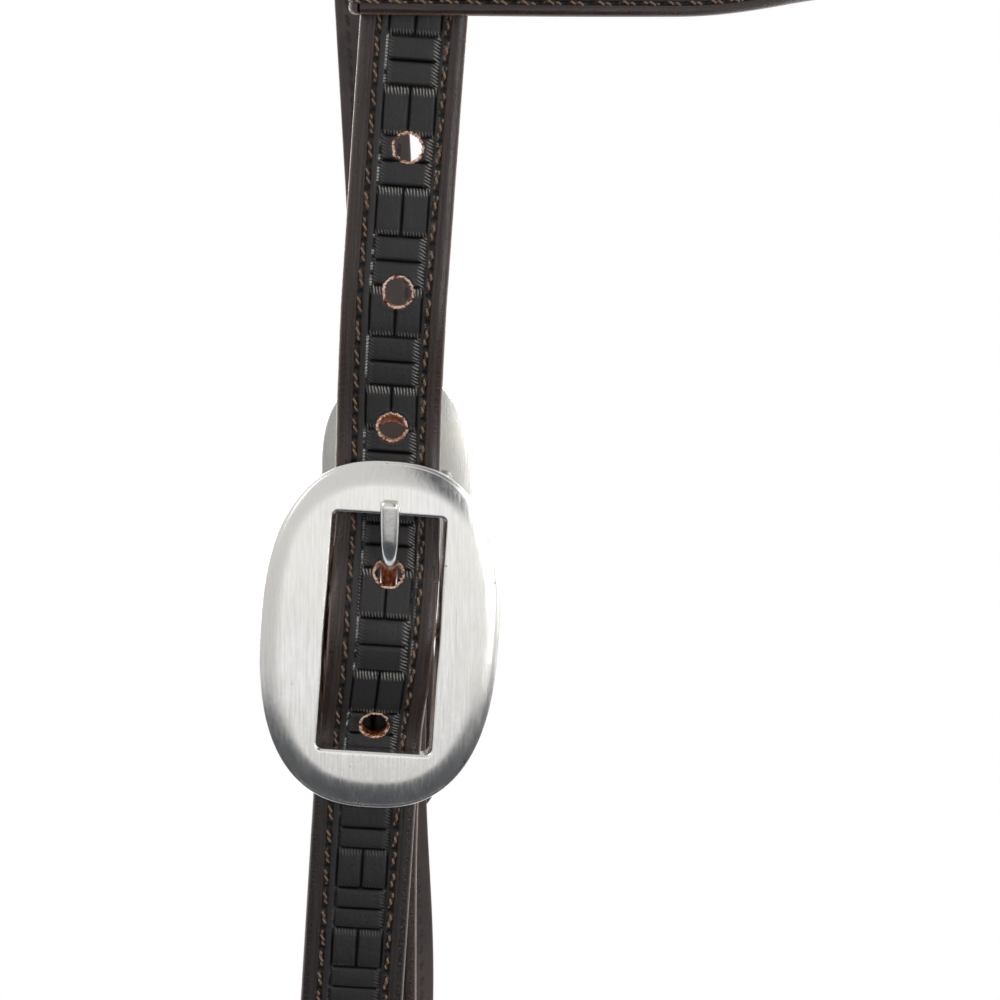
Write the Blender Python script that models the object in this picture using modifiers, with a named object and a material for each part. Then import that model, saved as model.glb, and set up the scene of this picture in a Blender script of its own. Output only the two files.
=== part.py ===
"""Western headstall: browband, doubled and stitched crown, two cheeks hung on centre-bar buckles.

Frame: +X towards the horse's nose, +Y towards the far side, +Z up.
The origin is where the underside of the crown rests on the poll.
Each side has its own frame on its buckle's centre bar: u runs down the strap, n points away
from the horse, and w runs along the bar.
"""

import math

import bmesh
import bpy
import numpy as np
from mathutils import Matrix, Vector

# Leather
STRAP_WIDTH = 0.0186
CROWN_WIDTH = 0.028
OUTER_THICK = 0.0024
LINING_THICK = 0.0020
CHEEK_THICK = 0.0022
LAYER_GAP = 0.0003
EDGE_ROUND = 0.0006

# Crown over the poll
BAR_HALF_SPAN = 0.119
CROWN_RISE = 0.105
CROWN_FLAT = 0.016
CROWN_TAPER_LENGTH = 0.100
BAR_DROP = 0.275
SIDE_LEAN = math.radians(3.43)

# Billet through the buckle
PLATE_STANDOFF = 0.0045
BILLET_LIFT = 0.0038
BILLET_BEND_LENGTH = 0.0115
TAIL_LENGTH = 0.0945
TAIL_TIP_LENGTH = 0.014
TAIL_TIP_SHARE = 0.30
TAIL_SKEW_START = 0.008
HOLE_RADIUS = 0.00275
HOLE_PITCH = 0.0254
USED_HOLE_DROP = -0.0095
HOLE_STEP_SHARES = (-3.02, -2.03, -1.11, 0.0, 1.03)

# Buckle frame
FRAME_HALF_WIDTH = 0.0212
FRAME_HALF_HEIGHT = 0.0313
FRAME_EXPONENT = 2.50
FRAME_THICK = 0.0030
FRAME_DOME = 0.0005
FRAME_EDGE_ROUND = 0.0008
WINDOW_HALF_WIDTH = 0.0104
WINDOW_HALF_HEIGHT = 0.0214
WINDOW_CORNER = 0.0012
WINDOW_EDGE_ROUND = 0.0003
BAR_RADIUS = 0.0019
BAR_POST_INSET = 0.0031
BAR_BEND_RADIUS = 0.0026
BAR_POST_SINK = 0.0008

# Tongue
TONGUE_THICK = 0.0022
TONGUE_WIDTH = 0.0032
TONGUE_BAR_GAP = 0.0002
TONGUE_OVERLAP = 0.0024
TONGUE_REST_GAP = 0.0003
TONGUE_BEND_RADIUS = 0.008
TONGUE_TIP_ANGLE = math.radians(6)
TONGUE_WRAP_ANGLE = math.radians(262)
SLOT_SIDE_GAP = 0.0008
SLOT_END_GAP = 0.0012

# Cheek
CHEEK_LENGTH = 0.240
CHAPE_LENGTH = 0.046
CHAPE_SPREAD_LENGTH = 0.014
CHEEK_LINING_START = 0.0155
BIT_LOOP_RADIUS = 0.0050
BIT_LOOP_FLAT = 0.0024
BIT_LOOP_THROAT = 0.020
BIT_FLAP_LENGTH = 0.042
FLAP_TIP_LENGTH = 0.006
FLAP_TIP_SHARE = 0.55
BIT_LINING_CLEARANCE = 0.003

# Bit screws
SCREW_DROPS = (0.0105, 0.0305)
POST_RADIUS = 0.0025
POST_BORE_RADIUS = 0.0016
POST_HOLE_RADIUS = 0.0028
POST_FLANGE_RADIUS = 0.0048
POST_FLANGE_THICK = 0.0013
SCREW_SHANK_RADIUS = 0.0013
SCREW_SHANK_LENGTH = 0.0045
SCREW_HEAD_RADIUS = 0.0046
SCREW_HEAD_THICK = 0.0015
SCREW_HEAD_EDGE = 0.0006
SCREW_SLOT_WIDTH = 0.0009
SCREW_SLOT_DEPTH = 0.0006

# Browband
BROWBAND_DROP = 0.1531
BROWBAND_REACH = 0.098
BROWBAND_START = 0.0045
BROWBAND_SIDE_GAP = 0.0006
BROWBAND_LOOP_GAP = 0.0006
BROWBAND_LINING_GAP = 0.0017
BROWBAND_CORNER = 0.0019
BROWBAND_FAR_RISE = 0.028
BROWBAND_TAB_LENGTH = 0.034
BROWBAND_TAB_STEP = 0.010
BROWBAND_TAB_TIP_LENGTH = 0.006
BROWBAND_TAB_TIP_SHARE = 0.7
BROWBAND_FLARE_START = 0.040
BROWBAND_NECK = 0.085
BROWBAND_LOOP_LOW = -0.0140
BROWBAND_LOOP_HIGH = 0.0140
BROWBAND_NECK_LOW = -0.0105
BROWBAND_NECK_HIGH = 0.0105
BROWBAND_FRONT_LOW = -0.0115
BROWBAND_FRONT_HIGH = 0.0115

# Shared
CUT_OVERRUN = 0.004

# How each side hangs: skew is sideways travel for each metre down
SIDES = {
    "near": {"turn": 0.0, "tail_skew": 0.0, "cheek_skew": 0.014},
    "far": {"turn": math.pi, "tail_skew": 0.070, "cheek_skew": 0.064},
}

HALF_WIDTH = STRAP_WIDTH / 2
BILLET_THICK = OUTER_THICK + LAYER_GAP + LINING_THICK
OUTER_OFFSET = (BILLET_THICK - OUTER_THICK) / 2
LINING_OFFSET = (LINING_THICK - BILLET_THICK) / 2
WRAP_RADIUS = BAR_RADIUS + LAYER_GAP + CHEEK_THICK / 2
CHEEK_OFFSET = -(BILLET_THICK / 2 + LAYER_GAP + CHEEK_THICK / 2)
BILLET_OVER_BAR = WRAP_RADIUS - CHEEK_OFFSET
BILLET_UNDER_PLATE = PLATE_STANDOFF - LAYER_GAP - BILLET_THICK / 2
BILLET_FREE = BILLET_UNDER_PLATE + BILLET_LIFT
HUMP_HALF_LENGTH = WINDOW_HALF_HEIGHT - EDGE_ROUND
PLATE_END = FRAME_HALF_HEIGHT + EDGE_ROUND
STRAP_HALF_SPAN = BAR_HALF_SPAN + BILLET_FREE
PLATE_FRONT = PLATE_STANDOFF + FRAME_THICK
CHEEK_FRONT_N = BILLET_UNDER_PLATE + CHEEK_OFFSET
CHEEK_LINING_N = CHEEK_FRONT_N - CHEEK_THICK / 2 - LAYER_GAP - LINING_THICK / 2
CHEEK_BACK_N = 2 * CHEEK_LINING_N - CHEEK_FRONT_N
LOOP_TURN = BIT_LOOP_RADIUS + CHEEK_THICK / 2
LOOP_CENTRE_U = CHEEK_LENGTH - CHEEK_THICK / 2 - LOOP_TURN
THROAT_U = LOOP_CENTRE_U - BIT_LOOP_THROAT
SIDE_RUN = BAR_DROP - CROWN_RISE + BILLET_THICK / 2
RING_RADIUS = BAR_RADIUS + TONGUE_BAR_GAP + TONGUE_THICK / 2
LEAN_SLOPE = math.tan(SIDE_LEAN)


def clear_scene():
    """Start from an empty scene."""
    for item in list(bpy.data.objects):
        bpy.data.objects.remove(item, do_unlink=True)


def new_collection(name):
    """A collection in the scene."""
    collection = bpy.data.collections.new(name)
    bpy.context.scene.collection.children.link(collection)
    return collection


def principled(name, color, roughness, metallic):
    """A plain material with one Principled shader."""
    material = bpy.data.materials.new(name)
    material.use_nodes = True
    shader = material.node_tree.nodes["Principled BSDF"]
    shader.inputs["Base Color"].default_value = (*color, 1.0)
    shader.inputs["Roughness"].default_value = roughness
    shader.inputs["Metallic"].default_value = metallic
    return material


def smooth_step(share):
    """Cosine blend from 0 to 1."""
    return 0.5 - 0.5 * math.cos(math.pi * min(max(share, 0.0), 1.0))


def spaced(start, end, count):
    """Evenly spaced numbers from start to end, without the end."""
    return [start + (end - start) * i / count for i in range(count)]


def finish_object(item, material, collection, parent=None):
    """Link an object, give it its material and hang it on its parent."""
    collection.objects.link(item)
    item.data.materials.clear()
    item.data.materials.append(material)
    item.parent = parent
    return item


def smooth_faces(mesh):
    """Shade round faces smooth and keep the crisp edges."""
    mesh.shade_smooth()
    mesh.set_sharp_from_angle(angle=math.radians(35))


def strip_mesh(name, rows, columns):
    """An open strip made from a grid: rows is a list of functions of w from -1 to 1."""
    bm = bmesh.new()
    count = len(rows) - 1
    bmesh.ops.create_grid(bm, x_segments=count, y_segments=columns, size=1.0)
    for vertex in bm.verts:
        row = rows[round((vertex.co.x + 1) / 2 * count)]
        vertex.co = row(vertex.co.y)
    mesh = bpy.data.meshes.new(name)
    bm.to_mesh(mesh)
    bm.free()
    return mesh


def add_thickness(item, thickness):
    """Thicken a strip about its middle and round its edges."""
    solidify = item.modifiers.new("thickness", "SOLIDIFY")
    solidify.thickness = thickness
    solidify.offset = 0.0
    solidify.use_even_offset = True
    bevel = item.modifiers.new("edge_round", "BEVEL")
    bevel.width = EDGE_ROUND
    bevel.segments = 1
    bevel.limit_method = "ANGLE"
    bevel.angle_limit = math.radians(60)


def cut(item, cutter, name="cut"):
    """Cut an object with another one."""
    boolean = item.modifiers.new(name, "BOOLEAN")
    boolean.operation = "DIFFERENCE"
    boolean.object = cutter
    boolean.solver = "EXACT"


def hide_cutter(item, collection, parent=None):
    """Keep a cutter out of the model."""
    collection.objects.link(item)
    item.hide_render = True
    item.display_type = "WIRE"
    item.parent = parent
    return item


def side_matrix(side):
    """World matrix of a side's frame: local X along the bar, -Y outwards, +Z up the strap."""
    bar = Matrix.Translation((0.0, -BAR_HALF_SPAN, -BAR_DROP))
    return Matrix.Rotation(SIDES[side]["turn"], 4, "Z") @ bar @ Matrix.Rotation(SIDE_LEAN, 4, "Y")


def side_point(w, u, n):
    """A point of a side's frame from its w, u and n."""
    return Vector((w, -n, -u))


def billet_line(u):
    """Height n of the billet's middle at u, and its slope."""
    if abs(u) < HUMP_HALF_LENGTH:
        rise = BILLET_OVER_BAR - BILLET_UNDER_PLATE
        turn = math.pi / HUMP_HALF_LENGTH
        height = BILLET_UNDER_PLATE + rise * (0.5 + 0.5 * math.cos(turn * u))
        return height, -rise * turn / 2 * math.sin(turn * u)
    if u < -PLATE_END:
        share = min((-PLATE_END - u) / BILLET_BEND_LENGTH, 1.0)
        slope = -BILLET_LIFT * math.pi / (2 * BILLET_BEND_LENGTH) * math.sin(math.pi * share)
        return BILLET_UNDER_PLATE + BILLET_LIFT * smooth_step(share), slope
    return BILLET_UNDER_PLATE, 0.0


def billet_point(u, offset):
    """A point (u, n) at an offset from the billet's middle, along its normal."""
    n, slope = billet_line(u)
    length = math.hypot(1.0, slope)
    return u - slope * offset / length, n + offset / length


def walk_billet(u, distance, steps=400):
    """The u that lies a distance along the billet's middle from a first u."""
    stride = distance / steps
    for _ in range(steps):
        slope = billet_line(u)[1]
        u += stride / math.hypot(1.0, slope)
    return u


def tail_shift(side, u):
    """Sideways travel of the billet's tail below the bar."""
    return SIDES[side]["tail_skew"] * max(u - TAIL_SKEW_START, 0.0)


def billet_half_width(u):
    """Half width of the billet, drawn in at its tip."""
    tip_start = TAIL_LENGTH - TAIL_TIP_LENGTH
    if u <= tip_start:
        return HALF_WIDTH
    share = (u - tip_start) / TAIL_TIP_LENGTH
    return HALF_WIDTH * max(math.sqrt(max(1.0 - share ** 2, 0.0)), TAIL_TIP_SHARE)


def billet_stations():
    """The billet's u values, from its tip up to where the crown's arch starts."""
    arch_start = -SIDE_RUN / math.cos(SIDE_LEAN)
    bend_end = -PLATE_END - BILLET_BEND_LENGTH
    tip_start = TAIL_LENGTH - TAIL_TIP_LENGTH
    tip = [tip_start + TAIL_TIP_LENGTH * math.sin(math.radians(a)) for a in (90, 72, 54, 36, 18, 0)]
    tail = spaced(tip_start, HUMP_HALF_LENGTH, 3)[1:]
    hump = spaced(HUMP_HALF_LENGTH, -HUMP_HALF_LENGTH, 14)
    plate = [-HUMP_HALF_LENGTH]
    bend = spaced(-PLATE_END, bend_end, 6)
    free = spaced(bend_end, arch_start, 3)
    return tip + tail + hump + plate + bend + free + [arch_start]


def arch_table():
    """Arc length, y and z along the crown's middle line, from the top down the near side."""
    angles = np.linspace(0.0, math.pi / 2, 600)
    reach = STRAP_HALF_SPAN - CROWN_FLAT / 2
    y = -(CROWN_FLAT / 2 + reach * np.sin(angles))
    z = CROWN_RISE * np.cos(angles) - CROWN_RISE
    steps = np.hypot(np.diff(y), np.diff(z))
    arc = CROWN_FLAT / 2 + np.concatenate([[0.0], np.cumsum(steps)])
    return arc, y, z


ARCH_ARC, ARCH_Y, ARCH_Z = arch_table()
ARCH_LENGTH = float(ARCH_ARC[-1])


def arch_profile(arc):
    """Point (y, z) and outward normal of the crown's middle at an arc length, near side negative."""
    side = -1.0 if arc < 0 else 1.0
    length = abs(arc)
    if length <= CROWN_FLAT / 2:
        y, z, slope_y, slope_z = -length, 0.0, -1.0, 0.0
    elif length >= ARCH_LENGTH:
        y, z, slope_y, slope_z = -STRAP_HALF_SPAN, -CROWN_RISE - (length - ARCH_LENGTH), 0.0, -1.0
    else:
        y = float(np.interp(length, ARCH_ARC, ARCH_Y))
        z = float(np.interp(length, ARCH_ARC, ARCH_Z))
        part_y = y + CROWN_FLAT / 2
        reach = STRAP_HALF_SPAN - CROWN_FLAT / 2
        angle = math.asin(min(-part_y / reach, 1.0))
        slope_y, slope_z = -reach * math.cos(angle), -CROWN_RISE * math.sin(angle)
        size = math.hypot(slope_y, slope_z)
        slope_y, slope_z = slope_y / size, slope_z / size
    normal_y, normal_z = slope_z, -slope_y
    return -side * y, z + BILLET_THICK / 2, -side * normal_y, normal_z


def arch_sway(arc):
    """Fore and aft place of the crown's middle line along the arch, and its slope."""
    side_run = SIDE_RUN * LEAN_SLOPE
    cubic = (LEAN_SLOPE * ARCH_LENGTH + side_run) / 2
    linear = -side_run - cubic
    share = arc / ARCH_LENGTH
    place = linear * share + cubic * share ** 3
    slope = (linear + 3 * cubic * share ** 2) / ARCH_LENGTH
    return place, slope


def arch_point(arc, w, offset):
    """A point of the crown's arch from its arc length, width place and offset."""
    place, slope = arch_sway(arc)
    size = math.hypot(1.0, slope)
    y, z, normal_y, normal_z = arch_profile(arc - w * slope / size)
    return Vector((place + w / size, y + normal_y * offset, z + normal_z * offset))


def crown_half_width(arc):
    """Half width along the arch, widest over the poll."""
    taper = smooth_step((abs(arc) - CROWN_FLAT / 2) / CROWN_TAPER_LENGTH)
    return CROWN_WIDTH / 2 + (HALF_WIDTH - CROWN_WIDTH / 2) * taper


def billet_row(side, u, offset):
    """One row across a billet, in world coordinates."""
    place = side_matrix(side)
    sign = 1.0 if side == "near" else -1.0
    line_u, line_n = billet_point(u, offset)
    half = billet_half_width(u)
    shift = tail_shift(side, u)
    return lambda share: place @ side_point(sign * share * half + shift, line_u, line_n)


def arch_row(arc, offset):
    """One row across the crown's arch."""
    half = crown_half_width(arc)
    return lambda share: arch_point(arc, share * half, offset)


def crown_rows(offset):
    """Every row of a crown layer, from the near tip over the poll to the far tip."""
    stations = billet_stations()
    near = [billet_row("near", u, offset) for u in stations]
    far = [billet_row("far", u, offset) for u in reversed(stations)]
    flat = CROWN_FLAT / 2
    step_count = 17
    down = [flat + (ARCH_LENGTH - flat) * i / step_count for i in range(step_count)]
    middle = [flat * share for share in (-0.75, -0.35, 0.35, 0.75)]
    arcs = [-arc for arc in reversed(down[1:])] + middle + down[1:]
    return near + [arch_row(arc, offset) for arc in arcs] + far


def hole_places():
    """The u of each hole in a billet."""
    return [walk_billet(USED_HOLE_DROP, HOLE_PITCH * share) for share in HOLE_STEP_SHARES]


def hole_cutter(cutters):
    """One cutter with a round punch through every hole of both billets."""
    bm = bmesh.new()
    for side in SIDES:
        for u in hole_places():
            n, slope = billet_line(u)
            lean = Matrix.Rotation(math.pi / 2 - math.atan(slope), 4, "X")
            centre = Matrix.Translation(side_point(tail_shift(side, u), u, n))
            bmesh.ops.create_cone(
                bm,
                cap_ends=True,
                segments=14,
                radius1=HOLE_RADIUS,
                radius2=HOLE_RADIUS,
                depth=BILLET_THICK + CUT_OVERRUN,
                matrix=side_matrix(side) @ centre @ lean,
            )
    mesh = bpy.data.meshes.new("billet_holes")
    bm.to_mesh(mesh)
    bm.free()
    return hide_cutter(bpy.data.objects.new("billet_holes", mesh), cutters)


def make_crown(parts, cutters, materials):
    """Crown and its lining, each one strip with both billets and their holes."""
    holes = hole_cutter(cutters)
    layers = (
        ("crown_outer", OUTER_OFFSET, OUTER_THICK, "tooled_leather"),
        ("crown_lining", LINING_OFFSET, LINING_THICK, "lining_leather"),
    )
    for name, offset, thickness, material in layers:
        item = bpy.data.objects.new(name, strip_mesh(name, crown_rows(offset), 1))
        finish_object(item, materials[material], parts)
        add_thickness(item, thickness)
        cut(item, holes, "holes")


def window_outline():
    """Points (w, u) round the buckle's window, with rounded corners."""
    points = []
    inner_w = WINDOW_HALF_WIDTH - WINDOW_CORNER
    inner_u = WINDOW_HALF_HEIGHT - WINDOW_CORNER
    corners = (
        (inner_w, inner_u, 0),
        (-inner_w, inner_u, 90),
        (-inner_w, -inner_u, 180),
        (inner_w, -inner_u, 270),
    )
    for index, (centre_w, centre_u, start) in enumerate(corners):
        for step in range(4):
            angle = math.radians(start + 90 * step / 3)
            points.append((centre_w + WINDOW_CORNER * math.cos(angle), centre_u + WINDOW_CORNER * math.sin(angle)))
        next_w, next_u, next_start = corners[(index + 1) % 4]
        last_w, last_u = points[-1]
        angle = math.radians(next_start)
        first_w = next_w + WINDOW_CORNER * math.cos(angle)
        first_u = next_u + WINDOW_CORNER * math.sin(angle)
        count = 9 if index % 2 else 6
        for step in range(1, count):
            share = step / count
            points.append((last_w + (first_w - last_w) * share, last_u + (first_u - last_u) * share))
    return points


def frame_edge(w, u):
    """The point of the buckle's oval outline in the direction of (w, u)."""
    size = (abs(w) / FRAME_HALF_WIDTH) ** FRAME_EXPONENT + (abs(u) / FRAME_HALF_HEIGHT) ** FRAME_EXPONENT
    scale = size ** (-1 / FRAME_EXPONENT)
    return w * scale, u * scale


def frame_rings():
    """Rings round the frame, from the window's back edge over the domed front to the outer back edge."""
    window = window_outline()
    outer = [frame_edge(w, u) for w, u in window]

    def ring(from_window, from_edge, share, n):
        points = []
        for (in_w, in_u), (out_w, out_u) in zip(window, outer):
            length = math.hypot(out_w - in_w, out_u - in_u)
            along = from_window + (length - from_window - from_edge) * share
            points.append((in_w + (out_w - in_w) * along / length, in_u + (out_u - in_u) * along / length, n))
        return points

    rim = WINDOW_EDGE_ROUND
    edge = FRAME_EDGE_ROUND
    top = PLATE_FRONT + FRAME_DOME
    rings = [ring(0.0, 0.0, 0.0, PLATE_STANDOFF), ring(0.0, 0.0, 0.0, top - rim), ring(rim, 0.0, 0.0, top)]
    for share in (0.35, 0.7):
        rings.append(ring(rim, edge, share, PLATE_FRONT + FRAME_DOME * (1 - share ** 2)))
    for degrees in (90, 45, 0):
        angle = math.radians(degrees)
        rings.append(ring(0.0, edge * (1 - math.cos(angle)), 1.0, PLATE_FRONT - edge + edge * math.sin(angle)))
    rings.append(ring(0.0, 0.0, 1.0, PLATE_STANDOFF + edge / 2))
    rings.append(ring(0.0, edge / 2, 1.0, PLATE_STANDOFF))
    return rings


def frame_plate_mesh():
    """The frame's plate: a closed loft from its square-cornered window to its oval edge."""
    bm = bmesh.new()
    rings = [[bm.verts.new(side_point(*point)) for point in ring] for ring in frame_rings()]
    count = len(rings[0])
    for index, ring in enumerate(rings):
        following = rings[(index + 1) % len(rings)]
        for i in range(count):
            j = (i + 1) % count
            bm.faces.new((ring[i], ring[j], following[j], following[i]))
    bmesh.ops.recalc_face_normals(bm, faces=bm.faces)
    mesh = bpy.data.meshes.new("buckle_plate")
    bm.to_mesh(mesh)
    bm.free()
    return mesh


def fillet(corner, start, end, radius, steps):
    """Points of the arc that rounds a corner between two straight runs."""
    back = (Vector(start) - Vector(corner)).normalized()
    ahead = (Vector(end) - Vector(corner)).normalized()
    half = back.angle(ahead) / 2
    centre = Vector(corner) + (back + ahead).normalized() * radius / math.sin(half)
    first = Vector(corner) + back * radius / math.tan(half) - centre
    last = Vector(corner) + ahead * radius / math.tan(half) - centre
    return [centre + first.slerp(last, step / steps) * radius for step in range(steps + 1)]


def tube_mesh(name, points, radius, resolution):
    """A solid tube along points, as a closed mesh."""
    curve = bpy.data.curves.new(name, "CURVE")
    curve.dimensions = "3D"
    curve.bevel_depth = radius
    curve.bevel_resolution = resolution
    curve.use_fill_caps = True
    spline = curve.splines.new("POLY")
    spline.points.add(len(points) - 1)
    for place, point in zip(spline.points, points):
        place.co = (*point, 1.0)
    item = bpy.data.objects.new(name, curve)
    bpy.context.scene.collection.objects.link(item)
    evaluated = item.evaluated_get(bpy.context.evaluated_depsgraph_get())
    mesh = bpy.data.meshes.new_from_object(evaluated)
    bpy.data.objects.remove(item, do_unlink=True)
    bm = bmesh.new()
    bm.from_mesh(mesh)
    bmesh.ops.remove_doubles(bm, verts=bm.verts, dist=radius / 1000)
    bmesh.ops.recalc_face_normals(bm, faces=bm.faces)
    bm.to_mesh(mesh)
    bm.free()
    return mesh


def bar_points():
    """The centre bar, set back from the plate on a bent post at each end."""
    post_w = WINDOW_HALF_WIDTH + BAR_POST_INSET
    post_n = PLATE_STANDOFF + BAR_POST_SINK
    left, right = (-post_w, 0.0, 0.0), (post_w, 0.0, 0.0)
    left_top, right_top = (-post_w, -post_n, 0.0), (post_w, -post_n, 0.0)
    run = [left_top]
    run += fillet(left, left_top, right, BAR_BEND_RADIUS, 5)
    run += fillet(right, left, right_top, BAR_BEND_RADIUS, 5)
    return run + [right_top]


def make_frames(parts, cutters, materials, empties):
    """Both buckle frames: an oval plate with its centre bar joined behind it."""
    plate = frame_plate_mesh()
    bar_mesh = tube_mesh("centre_bar", bar_points(), BAR_RADIUS, 2)
    for side in SIDES:
        bar = bpy.data.objects.new(side + "_centre_bar", bar_mesh)
        hide_cutter(bar, cutters, empties[side])
        item = bpy.data.objects.new(side + "_buckle_frame", plate.copy())
        finish_object(item, materials["brushed_steel"], parts, empties[side])
        boolean = item.modifiers.new("centre_bar", "BOOLEAN")
        boolean.operation = "UNION"
        boolean.object = bar
        boolean.solver = "EXACT"
        smooth_faces(item.data)


def tongue_points():
    """The tongue's middle line (u, n): an eye round the bar, a shank through the hole, a bent tip."""
    hole_u = USED_HOLE_DROP
    hole_n = billet_line(hole_u)[0]
    angle = math.atan2(hole_n, -hole_u) + math.asin(RING_RADIUS / math.hypot(hole_u, hole_n))
    shank = Vector((-math.cos(angle), math.sin(angle)))
    leave = Vector((-math.sin(angle), -math.cos(angle))) * RING_RADIUS
    start = math.atan2(leave.y, leave.x) + TONGUE_WRAP_ANGLE
    steps = 18
    ring = [start - TONGUE_WRAP_ANGLE * step / steps for step in range(steps + 1)]
    eye = [Vector((math.cos(a), math.sin(a))) * RING_RADIUS for a in ring]
    seat = Vector((-WINDOW_HALF_HEIGHT, PLATE_FRONT + FRAME_DOME + TONGUE_REST_GAP + TONGUE_THICK / 2))
    along = Vector((-math.cos(TONGUE_TIP_ANGLE), math.sin(TONGUE_TIP_ANGLE)))
    cross = shank.x * along.y - shank.y * along.x
    gap = seat - leave
    corner = leave + shank * ((gap.x * along.y - gap.y * along.x) / cross)
    tip = seat + along * TONGUE_OVERLAP
    bend = fillet((*corner, 0.0), (*leave, 0.0), (*tip, 0.0), TONGUE_BEND_RADIUS, 7)
    return eye + [Vector((p.x, p.y)) for p in bend] + [tip]


def make_tongues(parts, materials, empties):
    """Both tongues: bent wire, flattened to its width, turning on the centre bar."""
    points = [side_point(0.0, point.x, point.y) for point in tongue_points()]
    mesh = tube_mesh("tongue", points, TONGUE_THICK / 2, 2)
    mesh.transform(Matrix.Diagonal((TONGUE_WIDTH / TONGUE_THICK, 1.0, 1.0, 1.0)))
    smooth_faces(mesh)
    for side in SIDES:
        item = bpy.data.objects.new(side + "_tongue", mesh)
        finish_object(item, materials["bright_steel"], parts, empties[side])


def chape_points():
    """The cheek's turned-back end behind the bar (u, n), from its tip up to the bar."""
    straight = [CHAPE_LENGTH, CHAPE_LENGTH - FLAP_TIP_LENGTH / 2, CHAPE_LENGTH - FLAP_TIP_LENGTH]
    points = [(u, CHEEK_BACK_N) for u in straight + [CHAPE_SPREAD_LENGTH]]
    for step in range(1, 7):
        u = CHAPE_SPREAD_LENGTH * (1 - step / 6)
        points.append((u, -WRAP_RADIUS + (CHEEK_BACK_N + WRAP_RADIUS) * smooth_step(u / CHAPE_SPREAD_LENGTH)))
    return points


def wrap_points():
    """The cheek's turn over the bar (u, n), from back to front."""
    angles = [math.radians(180 * step / 8) for step in range(1, 8)]
    return [(-WRAP_RADIUS * math.sin(a), -WRAP_RADIUS * math.cos(a)) for a in angles]


def bit_loop_points():
    """The bit loop and its flap (u, n), from the throat round the bottom and up behind."""
    half_gap = CHEEK_FRONT_N - CHEEK_LINING_N
    front = []
    for step in range(7):
        share = step / 6
        front.append((THROAT_U + BIT_LOOP_THROAT * share, half_gap + (LOOP_TURN - half_gap) * smooth_step(share)))
    for step in range(1, 6):
        angle = math.radians(90 * step / 6)
        front.append((LOOP_CENTRE_U + LOOP_TURN * math.sin(angle), LOOP_TURN * math.cos(angle)))
    front = [(u, n) for u, n in front if n > BIT_LOOP_FLAT] + [(LOOP_CENTRE_U + LOOP_TURN, BIT_LOOP_FLAT / 2)]
    flap_end = THROAT_U - BIT_FLAP_LENGTH
    back = [(u, -n) for u, n in reversed(front)]
    back += [(flap_end + FLAP_TIP_LENGTH, -half_gap), (flap_end + FLAP_TIP_LENGTH / 2, -half_gap), (flap_end, -half_gap)]
    return [(u, CHEEK_LINING_N + n) for u, n in front + back]


def cheek_rows(side):
    """Rows of the cheek strip, from the chape's tip round the bar and down to the flap's end."""
    chape = chape_points()
    front = [billet_point(u, CHEEK_OFFSET) for u in spaced(0.0, HUMP_HALF_LENGTH, 10)]
    front += [(HUMP_HALF_LENGTH, CHEEK_FRONT_N)]
    front += [(u, CHEEK_FRONT_N) for u in spaced(HUMP_HALF_LENGTH, THROAT_U, 3)[1:]]
    points = chape + wrap_points() + front + bit_loop_points()
    shares = [FLAP_TIP_SHARE, 1.0 - (1.0 - FLAP_TIP_SHARE) / 4] + [1.0] * (len(points) - 4)
    shares += [shares[1], shares[0]]
    skew = SIDES[side]["cheek_skew"]

    def row(u, n, half):
        return lambda share: side_point(share * half + skew * u, u, n)

    return [row(u, n, HALF_WIDTH * share) for (u, n), share in zip(points, shares)]


def box_cutter(name, low, high, cutters, parent):
    """A box between two corners."""
    bm = bmesh.new()
    bmesh.ops.create_cube(bm, size=1.0)
    size = Vector(high) - Vector(low)
    centre = (Vector(high) + Vector(low)) / 2
    for vertex in bm.verts:
        vertex.co = Vector([c * s for c, s in zip(vertex.co, size)]) + centre
    mesh = bpy.data.meshes.new(name)
    bm.to_mesh(mesh)
    bm.free()
    return hide_cutter(bpy.data.objects.new(name, mesh), cutters, parent)


def screw_places(side):
    """Middle of each bit screw's hole (w, u)."""
    skew = SIDES[side]["cheek_skew"]
    drops = [THROAT_U - drop for drop in SCREW_DROPS]
    return [(skew * u, u) for u in drops]


def screw_hole_cutter(side, cutters, parent):
    """Round holes for the bit screws."""
    bm = bmesh.new()
    depth = CHEEK_FRONT_N - CHEEK_BACK_N + CHEEK_THICK + CUT_OVERRUN
    for w, u in screw_places(side):
        place = Matrix.Translation(side_point(w, u, CHEEK_LINING_N)) @ Matrix.Rotation(math.pi / 2, 4, "X")
        bmesh.ops.create_cone(
            bm,
            cap_ends=True,
            segments=14,
            radius1=POST_HOLE_RADIUS,
            radius2=POST_HOLE_RADIUS,
            depth=depth,
            matrix=place,
        )
    mesh = bpy.data.meshes.new(side + "_screw_holes")
    bm.to_mesh(mesh)
    bm.free()
    return hide_cutter(bpy.data.objects.new(side + "_screw_holes", mesh), cutters, parent)


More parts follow.
